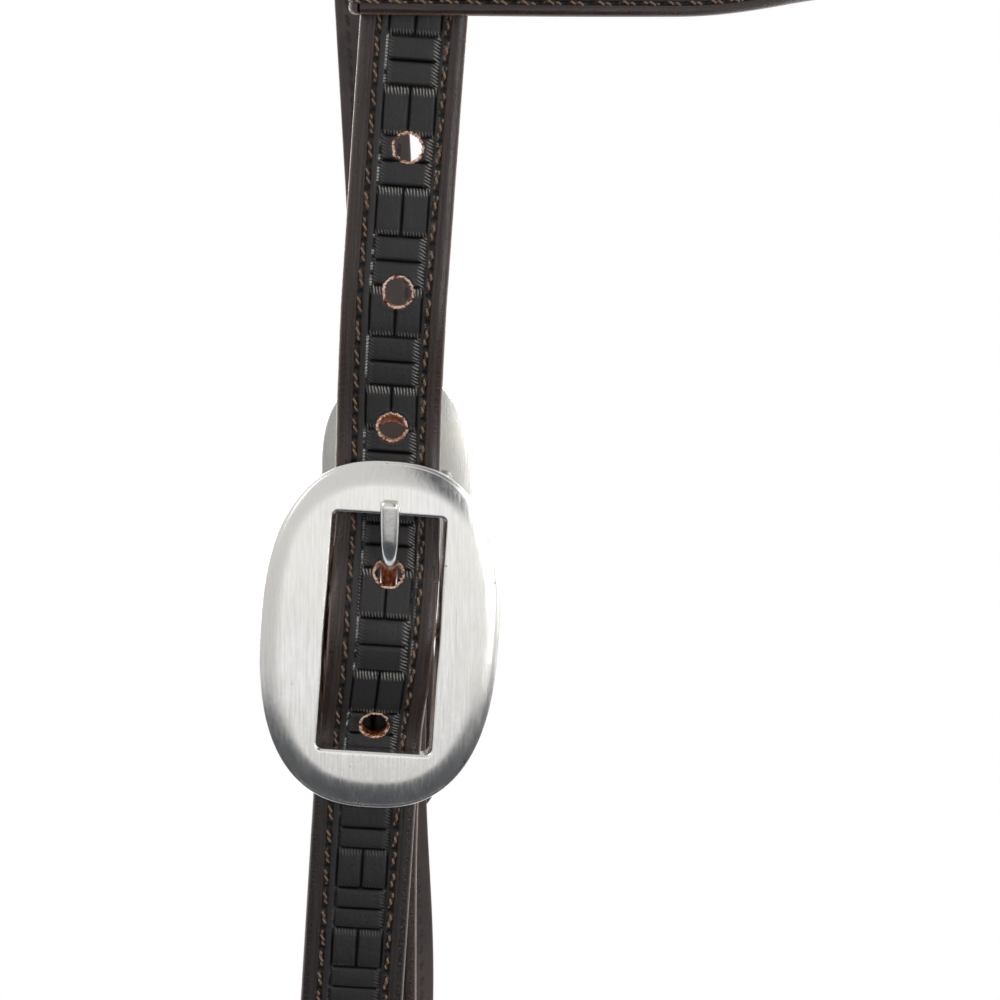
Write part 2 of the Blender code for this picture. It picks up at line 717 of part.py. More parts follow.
def make_cheek(side, parts, cutters, materials, empties):
    """A cheek: its outer strip, with the tongue's slot and the bit loop, and its lining."""
    parent = empties[side + "_cheek"]
    outer = bpy.data.objects.new(side + "_cheek_outer", strip_mesh(side + "_cheek_outer", cheek_rows(side), 1))
    finish_object(outer, materials["tooled_leather"], parts, parent)
    add_thickness(outer, CHEEK_THICK)
    slot_w = TONGUE_WIDTH / 2 + SLOT_SIDE_GAP
    slot_u = RING_RADIUS + TONGUE_THICK / 2 + SLOT_END_GAP
    reach = WRAP_RADIUS + CHEEK_THICK + CUT_OVERRUN
    low = side_point(-slot_w, slot_u, reach)
    high = side_point(slot_w, -reach, -reach)
    cut(outer, box_cutter(side + "_tongue_slot", low, high, cutters, parent), "tongue_slot")
    holes = screw_hole_cutter(side, cutters, parent)
    cut(outer, holes, "screw_holes")
    skew = SIDES[side]["cheek_skew"]
    end = THROAT_U - BIT_LINING_CLEARANCE
    stations = spaced(CHEEK_LINING_START, end, 3) + [end]

    def row(u):
        return lambda share: side_point(share * HALF_WIDTH + skew * u, u, CHEEK_LINING_N)

    name = side + "_cheek_lining"
    lining = bpy.data.objects.new(name, strip_mesh(name, [row(u) for u in stations], 1))
    finish_object(lining, materials["lining_leather"], parts, parent)
    add_thickness(lining, LINING_THICK)
    cut(lining, holes, "screw_holes")


def turned(name, profile, material, parts, parent, w, u):
    """A turned piece with its axis along n, from a profile (radius, n)."""
    mesh = bpy.data.meshes.new(name)
    bm = bmesh.new()
    points = [bm.verts.new((radius, 0.0, n)) for radius, n in profile]
    for first, second in zip(points, points[1:]):
        bm.edges.new((first, second))
    bm.to_mesh(mesh)
    bm.free()
    item = bpy.data.objects.new(name, mesh)
    finish_object(item, material, parts, parent)
    item.location = side_point(w, u, 0.0)
    item.rotation_euler = (math.pi / 2, 0.0, 0.0)
    screw = item.modifiers.new("turn", "SCREW")
    screw.axis = "Z"
    screw.steps = 16
    screw.render_steps = 16
    screw.use_merge_vertices = True
    screw.merge_threshold = SCREW_SLOT_DEPTH / 100
    screw.use_smooth_shade = True
    return item


def make_bit_screws(side, parts, cutters, materials, empties):
    """Two screw posts a side that close the bit loop: a flanged post behind, a slotted screw in front."""
    parent = empties[side + "_cheek"]
    front = CHEEK_FRONT_N + CHEEK_THICK / 2
    back = CHEEK_BACK_N - CHEEK_THICK / 2 - LAYER_GAP
    head_base = front + LAYER_GAP
    head_top = head_base + SCREW_HEAD_THICK
    shank_end = head_base - SCREW_SHANK_LENGTH
    bore_end = shank_end - LAYER_GAP
    flange_end = back - POST_FLANGE_THICK
    post = (
        (0.0, bore_end),
        (POST_BORE_RADIUS, bore_end),
        (POST_BORE_RADIUS, front),
        (POST_RADIUS, front),
        (POST_RADIUS, back),
        (POST_FLANGE_RADIUS, back),
        (POST_FLANGE_RADIUS, back - POST_FLANGE_THICK / 2),
        (POST_FLANGE_RADIUS - POST_FLANGE_THICK / 2, flange_end),
        (0.0, flange_end),
    )
    head = (
        (0.0, head_top),
        (SCREW_HEAD_RADIUS / 2, head_top - SCREW_HEAD_EDGE / 4),
        (SCREW_HEAD_RADIUS - SCREW_HEAD_EDGE / 2, head_base + SCREW_HEAD_EDGE),
        (SCREW_HEAD_RADIUS, head_base + SCREW_HEAD_EDGE / 2),
        (SCREW_HEAD_RADIUS, head_base),
        (SCREW_SHANK_RADIUS, head_base),
        (SCREW_SHANK_RADIUS, shank_end),
        (0.0, shank_end),
    )
    for label, (w, u) in zip(("lower", "upper"), screw_places(side)):
        turned(f"{side}_bit_post_{label}", post, materials["bright_steel"], parts, parent, w, u)
        screw = turned(f"{side}_bit_screw_{label}", head, materials["bright_steel"], parts, parent, w, u)
        slot_reach = SCREW_HEAD_RADIUS + CUT_OVERRUN
        low = side_point(w - slot_reach, u + SCREW_SLOT_WIDTH / 2, head_top + CUT_OVERRUN)
        high = side_point(w + slot_reach, u - SCREW_SLOT_WIDTH / 2, head_top - SCREW_SLOT_DEPTH)
        cut(screw, box_cutter(f"{side}_screw_slot_{label}", low, high, cutters, parent), "slot")


def browband_front():
    """Dense points (x, y, distance) along the middle of the browband's outer layer.

    Distance starts at the near strap's middle.
    """
    strap_x = (BAR_DROP - BROWBAND_DROP) * LEAN_SLOPE
    reach_y = STRAP_HALF_SPAN + BROWBAND_FRONT_OFFSET
    lobe = HALF_WIDTH + BROWBAND_START
    turn = HALF_WIDTH + BROWBAND_SIDE_GAP
    angles = np.linspace(-math.pi / 2, math.pi / 2, 800)
    x = lobe - strap_x * np.sin(angles) + BROWBAND_REACH * np.cos(angles)
    y = reach_y * np.sin(angles)
    x = np.concatenate([[strap_x - turn, strap_x], x, [-strap_x, -strap_x - turn]])
    y = np.concatenate([[-reach_y, -reach_y], y, [reach_y, reach_y]])
    distance = np.concatenate([[0.0], np.cumsum(np.hypot(np.diff(x), np.diff(y)))]) - turn
    return x, y, distance


BROWBAND_FRONT_OFFSET = BILLET_THICK / 2 + BROWBAND_LOOP_GAP + OUTER_THICK / 2
BROWBAND_LINING_INSET = OUTER_THICK / 2 + LAYER_GAP + LINING_THICK / 2
BROWBAND_TAB_INSET = BROWBAND_LINING_INSET + LINING_THICK / 2 + LAYER_GAP + OUTER_THICK / 2
FRONT_X, FRONT_Y, FRONT_DISTANCE = browband_front()
BROWBAND_SPAN = float(FRONT_DISTANCE[-1] + FRONT_DISTANCE[0])


def browband_plan(distance, inset):
    """Plan point at a distance along the browband's front, moved in towards the head."""
    step = BROWBAND_SIDE_GAP
    x, y = (float(np.interp(distance, FRONT_DISTANCE, axis)) for axis in (FRONT_X, FRONT_Y))
    ahead_x, ahead_y = (float(np.interp(distance + step, FRONT_DISTANCE, axis)) for axis in (FRONT_X, FRONT_Y))
    behind_x, behind_y = (float(np.interp(distance - step, FRONT_DISTANCE, axis)) for axis in (FRONT_X, FRONT_Y))
    size = math.hypot(ahead_x - behind_x, ahead_y - behind_y)
    return x - (ahead_y - behind_y) / size * inset, y + (ahead_x - behind_x) / size * inset


def browband_edges(distance):
    """Lowest and highest edge of the browband at a distance from the near strap."""
    place = min(distance, BROWBAND_SPAN - distance)
    centre = BROWBAND_SPAN / 2
    if place < BROWBAND_NECK:
        share = smooth_step((place - BROWBAND_FLARE_START) / (BROWBAND_NECK - BROWBAND_FLARE_START))
        low = BROWBAND_LOOP_LOW + (BROWBAND_NECK_LOW - BROWBAND_LOOP_LOW) * share
        high = BROWBAND_LOOP_HIGH + (BROWBAND_NECK_HIGH - BROWBAND_LOOP_HIGH) * share
        return low, high
    share = smooth_step((place - BROWBAND_NECK) / (centre - BROWBAND_NECK))
    low = BROWBAND_NECK_LOW + (BROWBAND_FRONT_LOW - BROWBAND_NECK_LOW) * share
    high = BROWBAND_NECK_HIGH + (BROWBAND_FRONT_HIGH - BROWBAND_NECK_HIGH) * share
    return low, high


def browband_row(x, y, low, high):
    """One upright row of the browband, leaning with the straps and higher towards the far side."""
    lean = -LEAN_SLOPE * y / STRAP_HALF_SPAN
    rise = BROWBAND_FAR_RISE * (y / STRAP_HALF_SPAN + 1) / 2

    def point(share):
        height = rise + low + (high - low) * (share + 1) / 2
        return Vector((x + lean * height, y, height))

    return point


def loop_stations():
    """Distance, inset and end share of each row of a loop, from its tab's end to its front layer."""
    turn = HALF_WIDTH + BROWBAND_SIDE_GAP
    inside = 2 * BROWBAND_FRONT_OFFSET
    tab_start = HALF_WIDTH + BROWBAND_LINING_GAP
    tip = BROWBAND_TAB_TIP_LENGTH
    end = BROWBAND_TAB_LENGTH
    rows = [(end, BROWBAND_TAB_INSET, BROWBAND_TAB_TIP_SHARE), (end - tip / 2, BROWBAND_TAB_INSET, 0.95)]
    rows.append((end - tip, BROWBAND_TAB_INSET, 1.0))
    for step in range(7):
        share = step / 6
        inset = BROWBAND_TAB_INSET + (inside - BROWBAND_TAB_INSET) * smooth_step(share)
        rows.append((tab_start + BROWBAND_TAB_STEP * (1 - share), inset, 1.0))
    rows.append((-turn * 0.5, inside, 1.0))
    corner = BROWBAND_CORNER
    centre = turn + OUTER_THICK / 2 - corner
    for centre_inset, start in ((inside - corner, 0), (corner, 90)):
        for step in range(5):
            angle = math.radians(start + 90 * step / 4)
            rows.append((-centre - corner * math.sin(angle), centre_inset + corner * math.cos(angle), 1.0))
    return rows


def loop_rows(mirror):
    """Rows of the near loop, or of the far loop, which is the near one turned about the upright axis."""
    rows = []
    for distance, inset, share in loop_stations():
        inner = max(distance, -(HALF_WIDTH + BROWBAND_SIDE_GAP) + BROWBAND_SIDE_GAP)
        x, y = browband_plan(inner, inset)
        x += distance - inner
        low, high = (edge * share for edge in browband_edges(0.0))
        if mirror:
            strap_x = (BAR_DROP - BROWBAND_DROP) * LEAN_SLOPE
            x, y = x - 2 * strap_x, -y
        rows.append(browband_row(x, y, low, high))
    return rows


def front_rows(start, inset):
    """Rows along the browband's front from a distance at one end to the same at the other."""
    count = 38
    rows = []
    for step in range(count + 1):
        distance = start + (BROWBAND_SPAN - 2 * start) * step / count
        x, y = browband_plan(distance, inset)
        rows.append(browband_row(x, y, *browband_edges(distance)))
    return rows


def make_browband(parts, materials, empties):
    """Browband: an outer strip folded round both straps, and the lining behind its front."""
    rows = loop_rows(False) + front_rows(0.0, 0.0) + list(reversed(loop_rows(True)))
    outer = bpy.data.objects.new("browband_outer", strip_mesh("browband_outer", rows, 1))
    finish_object(outer, materials["tooled_leather"], parts, empties["browband"])
    add_thickness(outer, OUTER_THICK)
    start = HALF_WIDTH + BROWBAND_LINING_GAP
    rows = front_rows(start, BROWBAND_LINING_INSET)
    lining = bpy.data.objects.new("browband_lining", strip_mesh("browband_lining", rows, 1))
    finish_object(lining, materials["lining_leather"], parts, empties["browband"])
    add_thickness(lining, LINING_THICK)


def make_materials():
    """The colours of the pieces."""
    return {
        "tooled_leather": principled("tooled_leather", (0.035, 0.026, 0.024), 0.5, 0.0),
        "lining_leather": principled("lining_leather", (0.050, 0.034, 0.029), 0.6, 0.0),
        "brushed_steel": principled("brushed_steel", (0.62, 0.61, 0.59), 0.28, 1.0),
        "bright_steel": principled("bright_steel", (0.60, 0.60, 0.60), 0.22, 1.0),
    }


def make_empties(parts):
    """Carriers: one on each centre bar, one for each cheek that swings there, one for the browband."""
    empties = {}
    for side in SIDES:
        empties[side] = bpy.data.objects.new(side + "_bar_axis", None)
        empties[side].matrix_world = side_matrix(side)
        parts.objects.link(empties[side])
        empties[side + "_cheek"] = bpy.data.objects.new(side + "_cheek_hinge", None)
        empties[side + "_cheek"].parent = empties[side]
        parts.objects.link(empties[side + "_cheek"])
    empties["browband"] = bpy.data.objects.new("browband_carrier", None)
    empties["browband"].location = (0.0, 0.0, -BROWBAND_DROP)
    parts.objects.link(empties["browband"])
    return empties


def main():
    """Build the headstall."""
    clear_scene()
    parts = new_collection("western_headstall")
    cutters = new_collection("cutters")
    materials = make_materials()
    empties = make_empties(parts)
    make_crown(parts, cutters, materials)
    make_frames(parts, cutters, materials, empties)
    make_tongues(parts, materials, empties)
    for side in SIDES:
        make_cheek(side, parts, cutters, materials, empties)
        make_bit_screws(side, parts, cutters, materials, empties)
    make_browband(parts, materials, empties)
    bpy.context.view_layer.update()


main()
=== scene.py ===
"""Looks of the western headstall: tooled and stitched straps, satin buckles, studio light."""

import math

import bmesh
import bpy
import numpy as np
from mathutils import Matrix, Vector


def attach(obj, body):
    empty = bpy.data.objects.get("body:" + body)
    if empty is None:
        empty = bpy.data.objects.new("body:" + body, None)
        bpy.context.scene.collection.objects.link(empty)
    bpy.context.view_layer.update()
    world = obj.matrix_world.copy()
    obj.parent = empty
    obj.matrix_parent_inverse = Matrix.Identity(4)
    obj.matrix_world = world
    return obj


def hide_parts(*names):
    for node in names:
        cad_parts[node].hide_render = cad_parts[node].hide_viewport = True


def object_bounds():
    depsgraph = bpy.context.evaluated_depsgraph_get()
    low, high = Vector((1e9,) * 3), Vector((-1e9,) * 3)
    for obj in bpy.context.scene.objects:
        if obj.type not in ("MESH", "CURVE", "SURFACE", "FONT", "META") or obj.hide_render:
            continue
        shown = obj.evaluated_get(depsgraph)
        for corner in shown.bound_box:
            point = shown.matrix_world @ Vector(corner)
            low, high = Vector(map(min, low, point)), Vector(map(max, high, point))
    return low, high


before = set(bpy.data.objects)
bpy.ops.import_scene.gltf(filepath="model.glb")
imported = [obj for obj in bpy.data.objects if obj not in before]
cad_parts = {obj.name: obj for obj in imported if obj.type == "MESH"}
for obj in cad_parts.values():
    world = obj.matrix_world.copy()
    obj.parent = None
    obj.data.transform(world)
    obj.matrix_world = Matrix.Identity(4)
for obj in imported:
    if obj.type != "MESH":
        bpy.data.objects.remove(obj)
CAD_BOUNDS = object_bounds()
SEED = np.random.default_rng(7)

# Leather and its layers, shared with the solids, in metres
STRAP_WIDTH = 0.0186
CROWN_WIDTH = 0.028
OUTER_THICK = 0.0024
LINING_THICK = 0.0020
CHEEK_THICK = 0.0022
LAYER_GAP = 0.0003
EDGE_ROUND = 0.0006

# Crown and billets
BAR_HALF_SPAN = 0.119
CROWN_RISE = 0.105
CROWN_FLAT = 0.016
CROWN_TAPER_LENGTH = 0.100
BAR_DROP = 0.275
SIDE_LEAN = math.radians(3.43)
BILLET_LIFT = 0.0038
# The bend above a plate is spread over a longer stretch than in the solids
BILLET_BEND_LENGTH = 0.0300
TAIL_LENGTH = 0.0945
TAIL_TIP_LENGTH = 0.014
TAIL_TIP_LEAST = 0.12
TAIL_SKEW_START = 0.008
HOLE_RADIUS = 0.00275
HOLE_PITCH = 0.0254
USED_HOLE_DROP = -0.0100

# Buckle plate, its bar and its tongue
PLATE_STANDOFF = 0.0045
FRAME_HALF_WIDTH = 0.0212
FRAME_HALF_HEIGHT = 0.0313
FRAME_EXPONENT = 2.50
FRAME_THICK = 0.0030
FRAME_DOME = 0.0005
WINDOW_HALF_WIDTH = 0.0104
WINDOW_HALF_HEIGHT = 0.0214
WINDOW_CORNER = 0.0012
BAR_RADIUS = 0.0019
POST_INSET = 0.0031
POST_SINK = 0.0008
POST_BEND = 0.0026
POST_SPREADS = (1.35, 1.2)
TONGUE_THICK = 0.0022
TONGUE_WIDTH = 0.0032
TONGUE_BAR_GAP = 0.0002
TONGUE_OVERLAP = 0.0024
TONGUE_REST_GAP = 0.0003
TONGUE_BEND_RADIUS = 0.008
TONGUE_TIP_ANGLE = math.radians(6)
TONGUE_WRAP_ANGLE = math.radians(262)
TONGUE_SLOT_GAP = 0.0008
# The tongue's forged tip: widths as shares, squareness, and how far from the tip they start
TIP_WIDTHS = (0.93, 0.13)
TIP_WIDEN = (0.002, 0.011)
TIP_SQUARE = 1.6
TIP_FLATTEN = (0.004, 0.012)
TIP_ROUND = 0.0007
TIP_LEAST = 0.80

# Cheeks, their bit loops and screws
CHEEK_LENGTH = 0.240
CHAPE_LENGTH = 0.046
CHAPE_SPREAD_LENGTH = 0.014
CHEEK_LINING_START = 0.0155
BIT_LOOP_RADIUS = 0.0050
BIT_LOOP_THROAT = 0.020
BIT_FLAP_LENGTH = 0.042
BIT_LINING_CLEARANCE = 0.003
CHEEK_CORNER_CUT = 0.45
SCREW_DROPS = {"lower": 0.0105, "upper": 0.0305}
SCREW_TURNS = {"lower": 0.5, "upper": -0.9}
# Screw head and post: radius, and height over or under the leather's faces
HEAD_PROFILE = (
    (0.0, 0.0018),
    (0.0012, 0.00178),
    (0.0024, 0.0017),
    (0.0034, 0.0015),
    (0.0040, 0.00125),
    (0.0044, 0.00095),
    (0.0046, 0.0006),
    (0.0046, 0.0002),
    (0.0044, 0.00005),
    (0.0013, 0.00002),
)
POST_PROFILE = (
    (0.0, 0.0016),
    (0.0022, 0.00155),
    (0.0036, 0.0014),
    (0.0044, 0.0011),
    (0.0048, 0.0007),
    (0.0048, 0.0003),
    (0.0046, 0.0001),
    (0.0025, 0.0),
)
SHANK_GAP = 0.0001
HEAD_SHANK = (0.0013, 0.0030)
POST_SHANK = (0.0025, 0.0016, 0.0028)
SLOT_WIDTH = 0.0009
SLOT_DEPTH = 0.0006
SLOT_REACH = 0.006

# Browband; the look's flare starts and ends a little further on than the solids'
BROWBAND_DROP = 0.1531
BROWBAND_REACH = 0.098
BROWBAND_START = 0.0045
BROWBAND_SIDE_GAP = 0.0001
BROWBAND_LOOP_GAP = 0.0006
BROWBAND_LINING_GAP = 0.0017
BROWBAND_CORNER = 0.0019
BROWBAND_FAR_RISE = 0.028
BROWBAND_TAB_LENGTH = 0.034
BROWBAND_TAB_STEP = 0.010
BROWBAND_FLARE_START = 0.047
BROWBAND_NECK = 0.090
BROWBAND_LOOP_EDGES = (-0.0135, 0.0140)
BROWBAND_NECK_EDGES = (-0.0105, 0.0105)
BROWBAND_FRONT_EDGES = (-0.0115, 0.0115)
BROWBAND_TRIM = 0.0004
BROWBAND_CORNER_CUT = 0.3

SIDES = {
    "near": {"turn": 0.0, "tail_skew": 0.0, "cheek_skew": 0.014},
    "far": {"turn": math.pi, "tail_skew": 0.070, "cheek_skew": 0.064},
}

# Hand-made unevenness, in the look only. Holes: steps in pitches from the used one, sideways shift
HOLE_STEPS = (-3.006, -2.023, -1.072, 0.0, 1.095)
HOLE_SHIFT = 0.0006
# The third hole's upper wall is torn and leans in, by this share of its depth
TORN_HOLE = 2
TORN_LEAN = 0.62
TORN_START = 0.0004
TORN_SPREAD = 1.3
# Plates: sideways shifts, rim hung lower than the window, worn fall towards the rim
FRAME_SHIFTS = {"near": 0.0009, "far": -0.0004}
FRAME_DROP = 0.0005
FRAME_FALL = 0.0010
FRAME_FALL_WIDTH = 0.0050
FRAME_FALL_POWER = 1.8
FRAME_EDGE = 0.0003
# Rounded edges of the plate: inset and depth at the window's front, inset and height at the back
WINDOW_BREAK = 0.00015
WALL_ENDS = (0.0004, 0.0005)
WINDOW_RIM = ((0.0, 0.00032), (0.00004, 0.00018), (0.00030, 0.00003), (0.00045, 0.0))
PLATE_BACK_EDGE = ((0.00004, 0.0006), (0.0004, 0.00008), (0.0006, 0.0))
# Window: shift, how far its left edge comes in towards the top, draft of the side walls
WINDOW_SHIFT = 0.0002
WINDOW_TAPER = 0.0005
WINDOW_DRAFTS = (0.00062, 0.00004)
# Near billet: places along the strap (u), its sideways places there (w), and its swell in the window
NEAR_SWAY = (
    (-0.110, -0.095, -0.058, -0.042, -0.030, -0.020, -0.009, 0.000, 0.006, 0.012, 0.018, 0.030),
    (0.0, -0.00015, -0.00035, -0.0001, 0.00035, 0.00100, 0.00120, 0.00115, 0.0010, 0.0006, 0.00025, 0.0),
)
NEAR_SWELL = 0.00025
NEAR_SWELL_U = -0.008
NEAR_SWELL_LENGTH = 0.014
# Far billet's tail: places along the strap (u), and its sideways places there (w)
FAR_SWAY = (
    (0.0, 0.015, 0.030, 0.050, 0.070, 0.087, 0.0945),
    (0.0, 0.0, -0.0006, -0.0018, -0.0031, -0.0041, -0.0044),
)
TONGUE_SHIFT = 0.0019
TONGUE_TURN = 0.048
# Cheeks: sideways reach, and the u where it starts, is full, begins to leave and ends
CHEEK_SWAYS = {
    "near": (0.0024, (0.025, 0.100, 0.120, 0.190)),
    "far": (-0.0028, (0.075, 0.145, 0.150, 0.205)),
}
# The near tail's tooling and sewing are set a little closer: runs, and the runs of even work
TAIL_RUNS = (-0.0950, -0.0658, -0.0516, -0.0372, -0.0020, 0.0335, 0.0440, 0.0640, 1.0)
TAIL_EVEN_RUNS = (-0.1037, -0.0695, -0.0529, -0.0362, -0.0020, 0.0335, 0.0446, 0.06444, 1.00044)
# Painted shade over the near tail: full below the first run, gone above the second
TAIL_SHADE_MASK = (-0.037, -0.027)

# Stamped panel: place, size and relief
TOOL_MIDDLE = 0.00035
TOOL_HALF_WIDTH = 0.00465
TOOL_PERIOD = 0.0173
TOOL_DEPTH = 0.00065
TOOL_PHASE = 0.0026
TOOL_LEVEL = 0.95
TOOL_EDGE = (-0.00005, 0.0002)
TOOL_FADE = 0.75
TOOL_BORDER = 0.0006
TOOL_BORDER_LEVEL = 0.46
CELL = TOOL_PERIOD / 2
STRAND_LIP = 0.00005
STRAND_WALL = 0.00045
STRAND_END = 0.0007
STRAND_END_SHARE = 0.25
STRAND_CROWN = 0.16
STRAND_DIVE = 0.45
STRAND_GROOVE = (0.00015, 0.0005)
# Serrations, whose colour is a painted highlight: where they start and are full, short of a strand's end, and
# their strength
TICK_TOP = (0.0018, 0.0009, 1.0)
TICK_LOW = (0.0012, 0.0006, 0.55)
TICK_RIGHT = (0.0015, 0.0006, 1.0)
TICK_LEFT = (0.0016, 0.0004, 0.22)
# Share of the serrations' painted highlight taken away under the near tail's painted shade
TAIL_SHADE_TICK_LOSS = 0.62
# Masks that the leather's material reads; a face without tooling has 0 in all but its relief
PLAIN_RELIEF = 0.5
MASKS = ("tool", "relief", "tick_w", "tick_s", "rule_glint", "tail", "pits")
# Painted highlights of the toothed rules beside the panel: strength on its right side, loss under the near
# tail's painted shade, width they need
RULE_RIGHT = (0.35, 0.4)
RULE_REACH = 0.9
RULE_TAIL_SHADE_LOSS = 0.7
RULE_WIDTHS = (0.0003, 0.0008)
RULE_GAP = 0.0007

# Border and sewing, measured from the strap's edge
STITCH_INSET = 0.0033
STITCH_PITCH = 0.00445
STITCH_PHASE = 0.0041
STITCH_LENGTH = 0.0037
STITCH_SLANT = 0.00034
STITCH_SINK = 0.00078
STITCH_RISE = 0.00083
STITCH_ROUND = 2.6
STITCH_JITTER = 0.00006
PLY_RADII = (0.00023, 0.92)
PLY_SPREADS = (0.00017, 0.00013)
PLY_TURNS = 2.3
THREAD_SINK = 0.0002
# Where the seams start or end, from the strip's ends or, for the first and third, from the bar
CHEEK_SEAM_START = 0.012
SEAM_END = 0.004
CHAPE_SEAM_END = -0.016
CROWN_SEAM_END = 0.008
FLAP_SEAM = (0.038, 0.003)
CHEEK_BACK_SEAM = (0.033, 0.026)
BROWBAND_BACK_SEAM = 0.032
# The browband's edges are sewn nearer the rim than the straps', by this ratio
BROWBAND_CLOSER = 1.45
CREASE_INSET = 0.0022
CREASE_WIDTH = 0.00020
CREASE_DEPTH = 0.00010
GROOVE_WIDTH = 0.00050
GROOVE_DEPTH = 0.00036
PLAIN_GROOVE_WIDTH = 0.00042
PLAIN_GROOVE_DEPTH = 0.00022
PLAIN_ROUND = 0.0009
BACK_ROUND = 0.00055
PIT_LENGTH = 0.00042
PIT_WIDTH = 0.00050
PIT_DEPTH = 0.00022
SURFACE_WANDER = (0.00003, 0.0021, 7.0, 3.0)
# Border round a punched hole: where it is pressed flat, how deep, and its low lip
HOLE_FLAT = (0.0001, 0.0007)
HOLE_SINK = 0.00006
HOLE_LIP = (0.00010, 0.00040, 0.00026)
# Walls of a punched hole, from its turned-over rim down: how far each ring stands out from the
# circle, whether it is measured from the front (1), the middle (0) or the back (-1), its step
# from there, and how ragged it is
HOLE_ROWS = (
    (0.00006, 1, -0.00012, 1.6),
    (0.00005, 1, 0.00004, 2.2),
    (-0.00010, 1, 0.00010, 2.6),
    (-0.00030, 1, 0.00004, 2.8),
    (-0.00042, 1, -0.00012, 2.8),
    (-0.00036, 1, -0.00035, 2.0),
    (-0.00026, 1, -0.0008, 1.4),
    (-0.00022, 1, -0.0016, 1.2),
    (-0.00016, 0, 0.0, 1.2),
    (-0.00012, -1, 0.0010, 1.0),
    (0.00002, -1, 0.0003, 1.2),
    (0.00012, -1, -0.00004, 1.5),
    (0.00020, -1, 0.00008, 1.5),
)
HOLE_RIM_ROWS = [0, 1, 2, 3, 11]
HOLE_WANDER = 0.00006
HOLE_FRAY = 0.00004
# Bevel of the border: insets in millimetres, and its slope there
BEVEL_LENGTH = 0.0022
BEVEL_INSETS_MM = (0.0, 0.1, 0.3, 0.7, 1.25, 1.6, 2.0)
BEVEL_SLOPES = (2.5, 1.6, 0.8, 0.36, 0.27, 0.02, 0.0)

# Spacing of the meshes: columns of a strap from its edge, and stations at a rounded end
FINE_INSETS = np.array(
    [0.0, 0.00008, 0.00022, 0.00042, 0.0007, 0.0010, 0.0013, 0.0016, 0.0018]
    + [0.0019, 0.0020, 0.0021, 0.0022, 0.0024, 0.0026, 0.0028, 0.00295, 0.0031]
    + [0.0032, 0.0033, 0.0034, 0.0035, 0.00365, 0.0038, 0.0040, 0.0042]
)
COARSE_INSETS = np.array(
    [0.0, 0.0001, 0.0003, 0.0007, 0.0013, 0.0018, 0.0020, 0.0022, 0.0026, 0.0030, 0.0033, 0.0036, 0.0040]
)
FINE_COLUMNS = 47
COARSE_COLUMNS = 15
TIP_INSETS = np.array([0.0, 0.0001, 0.0003, 0.0007, 0.0012, 0.002, 0.003, 0.0045, 0.0065, 0.009])
TIP_GAP = 0.0025
END_SHARES = np.array([0.01, 0.03, 0.07, 0.13, 0.2, 0.3, 0.42, 0.56, 0.75])
END_REACH = 0.006
TIP_REACH = 0.004
BILLET_SPACING = 0.0005
# Where the near billet's close stations start and end (u), and the far billet's from its bar
BILLET_FINE_END = 0.070
BILLET_FINE_TOP = -0.118
FAR_BILLET = 0.10
FAR_BACKING = 0.13
CROWN_SPACINGS = (0.0006, 0.00023, 0.0007, 0.0006)
BACKING_SPACINGS = (0.0006, 0.0009, 0.0004)
# Runs between which a strip's stations are close, and the spacings before, between and after
CHEEK_FINE = (-0.010, 0.075)
CHEEK_SPACINGS = (0.0006, 0.00032, 0.0007)
CHEEK_BACK_STATIONS = 260
BROWBAND_FINE = (0.0, 0.120)
BROWBAND_SPACINGS = (0.0007, 0.0004, 0.0008)
BROWBAND_BACK_STATIONS = 560
STRIP_SPACING = 0.001
TAB_SPACING = 0.0005
LOOP_SPACING = 0.0007
FRONT_SPACING = 0.0008
BROWBAND_STEP = 0.0012
ARCH_STEPS = 600
ARCH_STATIONS = 901
WRAP_STEPS = 24
EYE_STEPS = 48
PLATE_SIDES = 480
HOLE_SIDES = 120
TURNED_SIDES = 72

# Leather layers: the material, the slot and the node that each stands for
LAYERS = {
    "tooled": ("leather", "tooled_leather", "outer"),
    "backing": ("lining", "lining_leather", "lining"),
}

# Noises of the materials: scales, detail, roughness and kind of place
NOISES = {
    "cloud": ((90, 160, 1), 5.0, 0.6, "UV"),
    "streak": ((60, 2600, 1), 4.0, 0.6, "UV"),
    "fine": ((5200, 5200, 1), 3.0, 0.7, "UV"),
    "pores": ((1700, 1700, 1), 2.0, 0.55, "UV"),
    "tick_wander": ((700, 700, 1), 2.0, 0.55, "UV"),
    "teeth_gaps": ((420, 30, 1), 2.0, 0.55, "UV"),
    "lining_cloud": ((60, 110, 1), 5.0, 0.6, "UV"),
    "lining_fine": ((4200, 4200, 1), 3.0, 0.7, "UV"),
    "fibre": ((1500, 2600, 2600), 6.0, 0.75, "Object"),
    "clump": ((800, 900, 900), 3.0, 0.6, "Object"),
    "fluff": ((4200, 4200, 4200), 5.0, 0.75, "Object"),
    "satin": ((2600, 2600, 160), 4.0, 0.65, "Object"),
    "bright": ((1500, 1500, 200), 4.0, 0.65, "Object"),
    "haze": ((90, 90, 60), 5.0, 0.65, "Object"),
    "hairs": ((1900, 600, 60), 2.0, 0.5, "Object"),
    "pits": ((520, 520, 520), 1.0, 0.4, "Object"),
    "paper": ((30, 30, 30), 3.0, 0.5, "Object"),
    "card": ((11, 11, 11), 3.0, 0.6, "Object"),
}
GRAIN_SCALE = (2300, 2300, 1)
LINING_GRAIN_SCALE = (2100, 2100, 1)

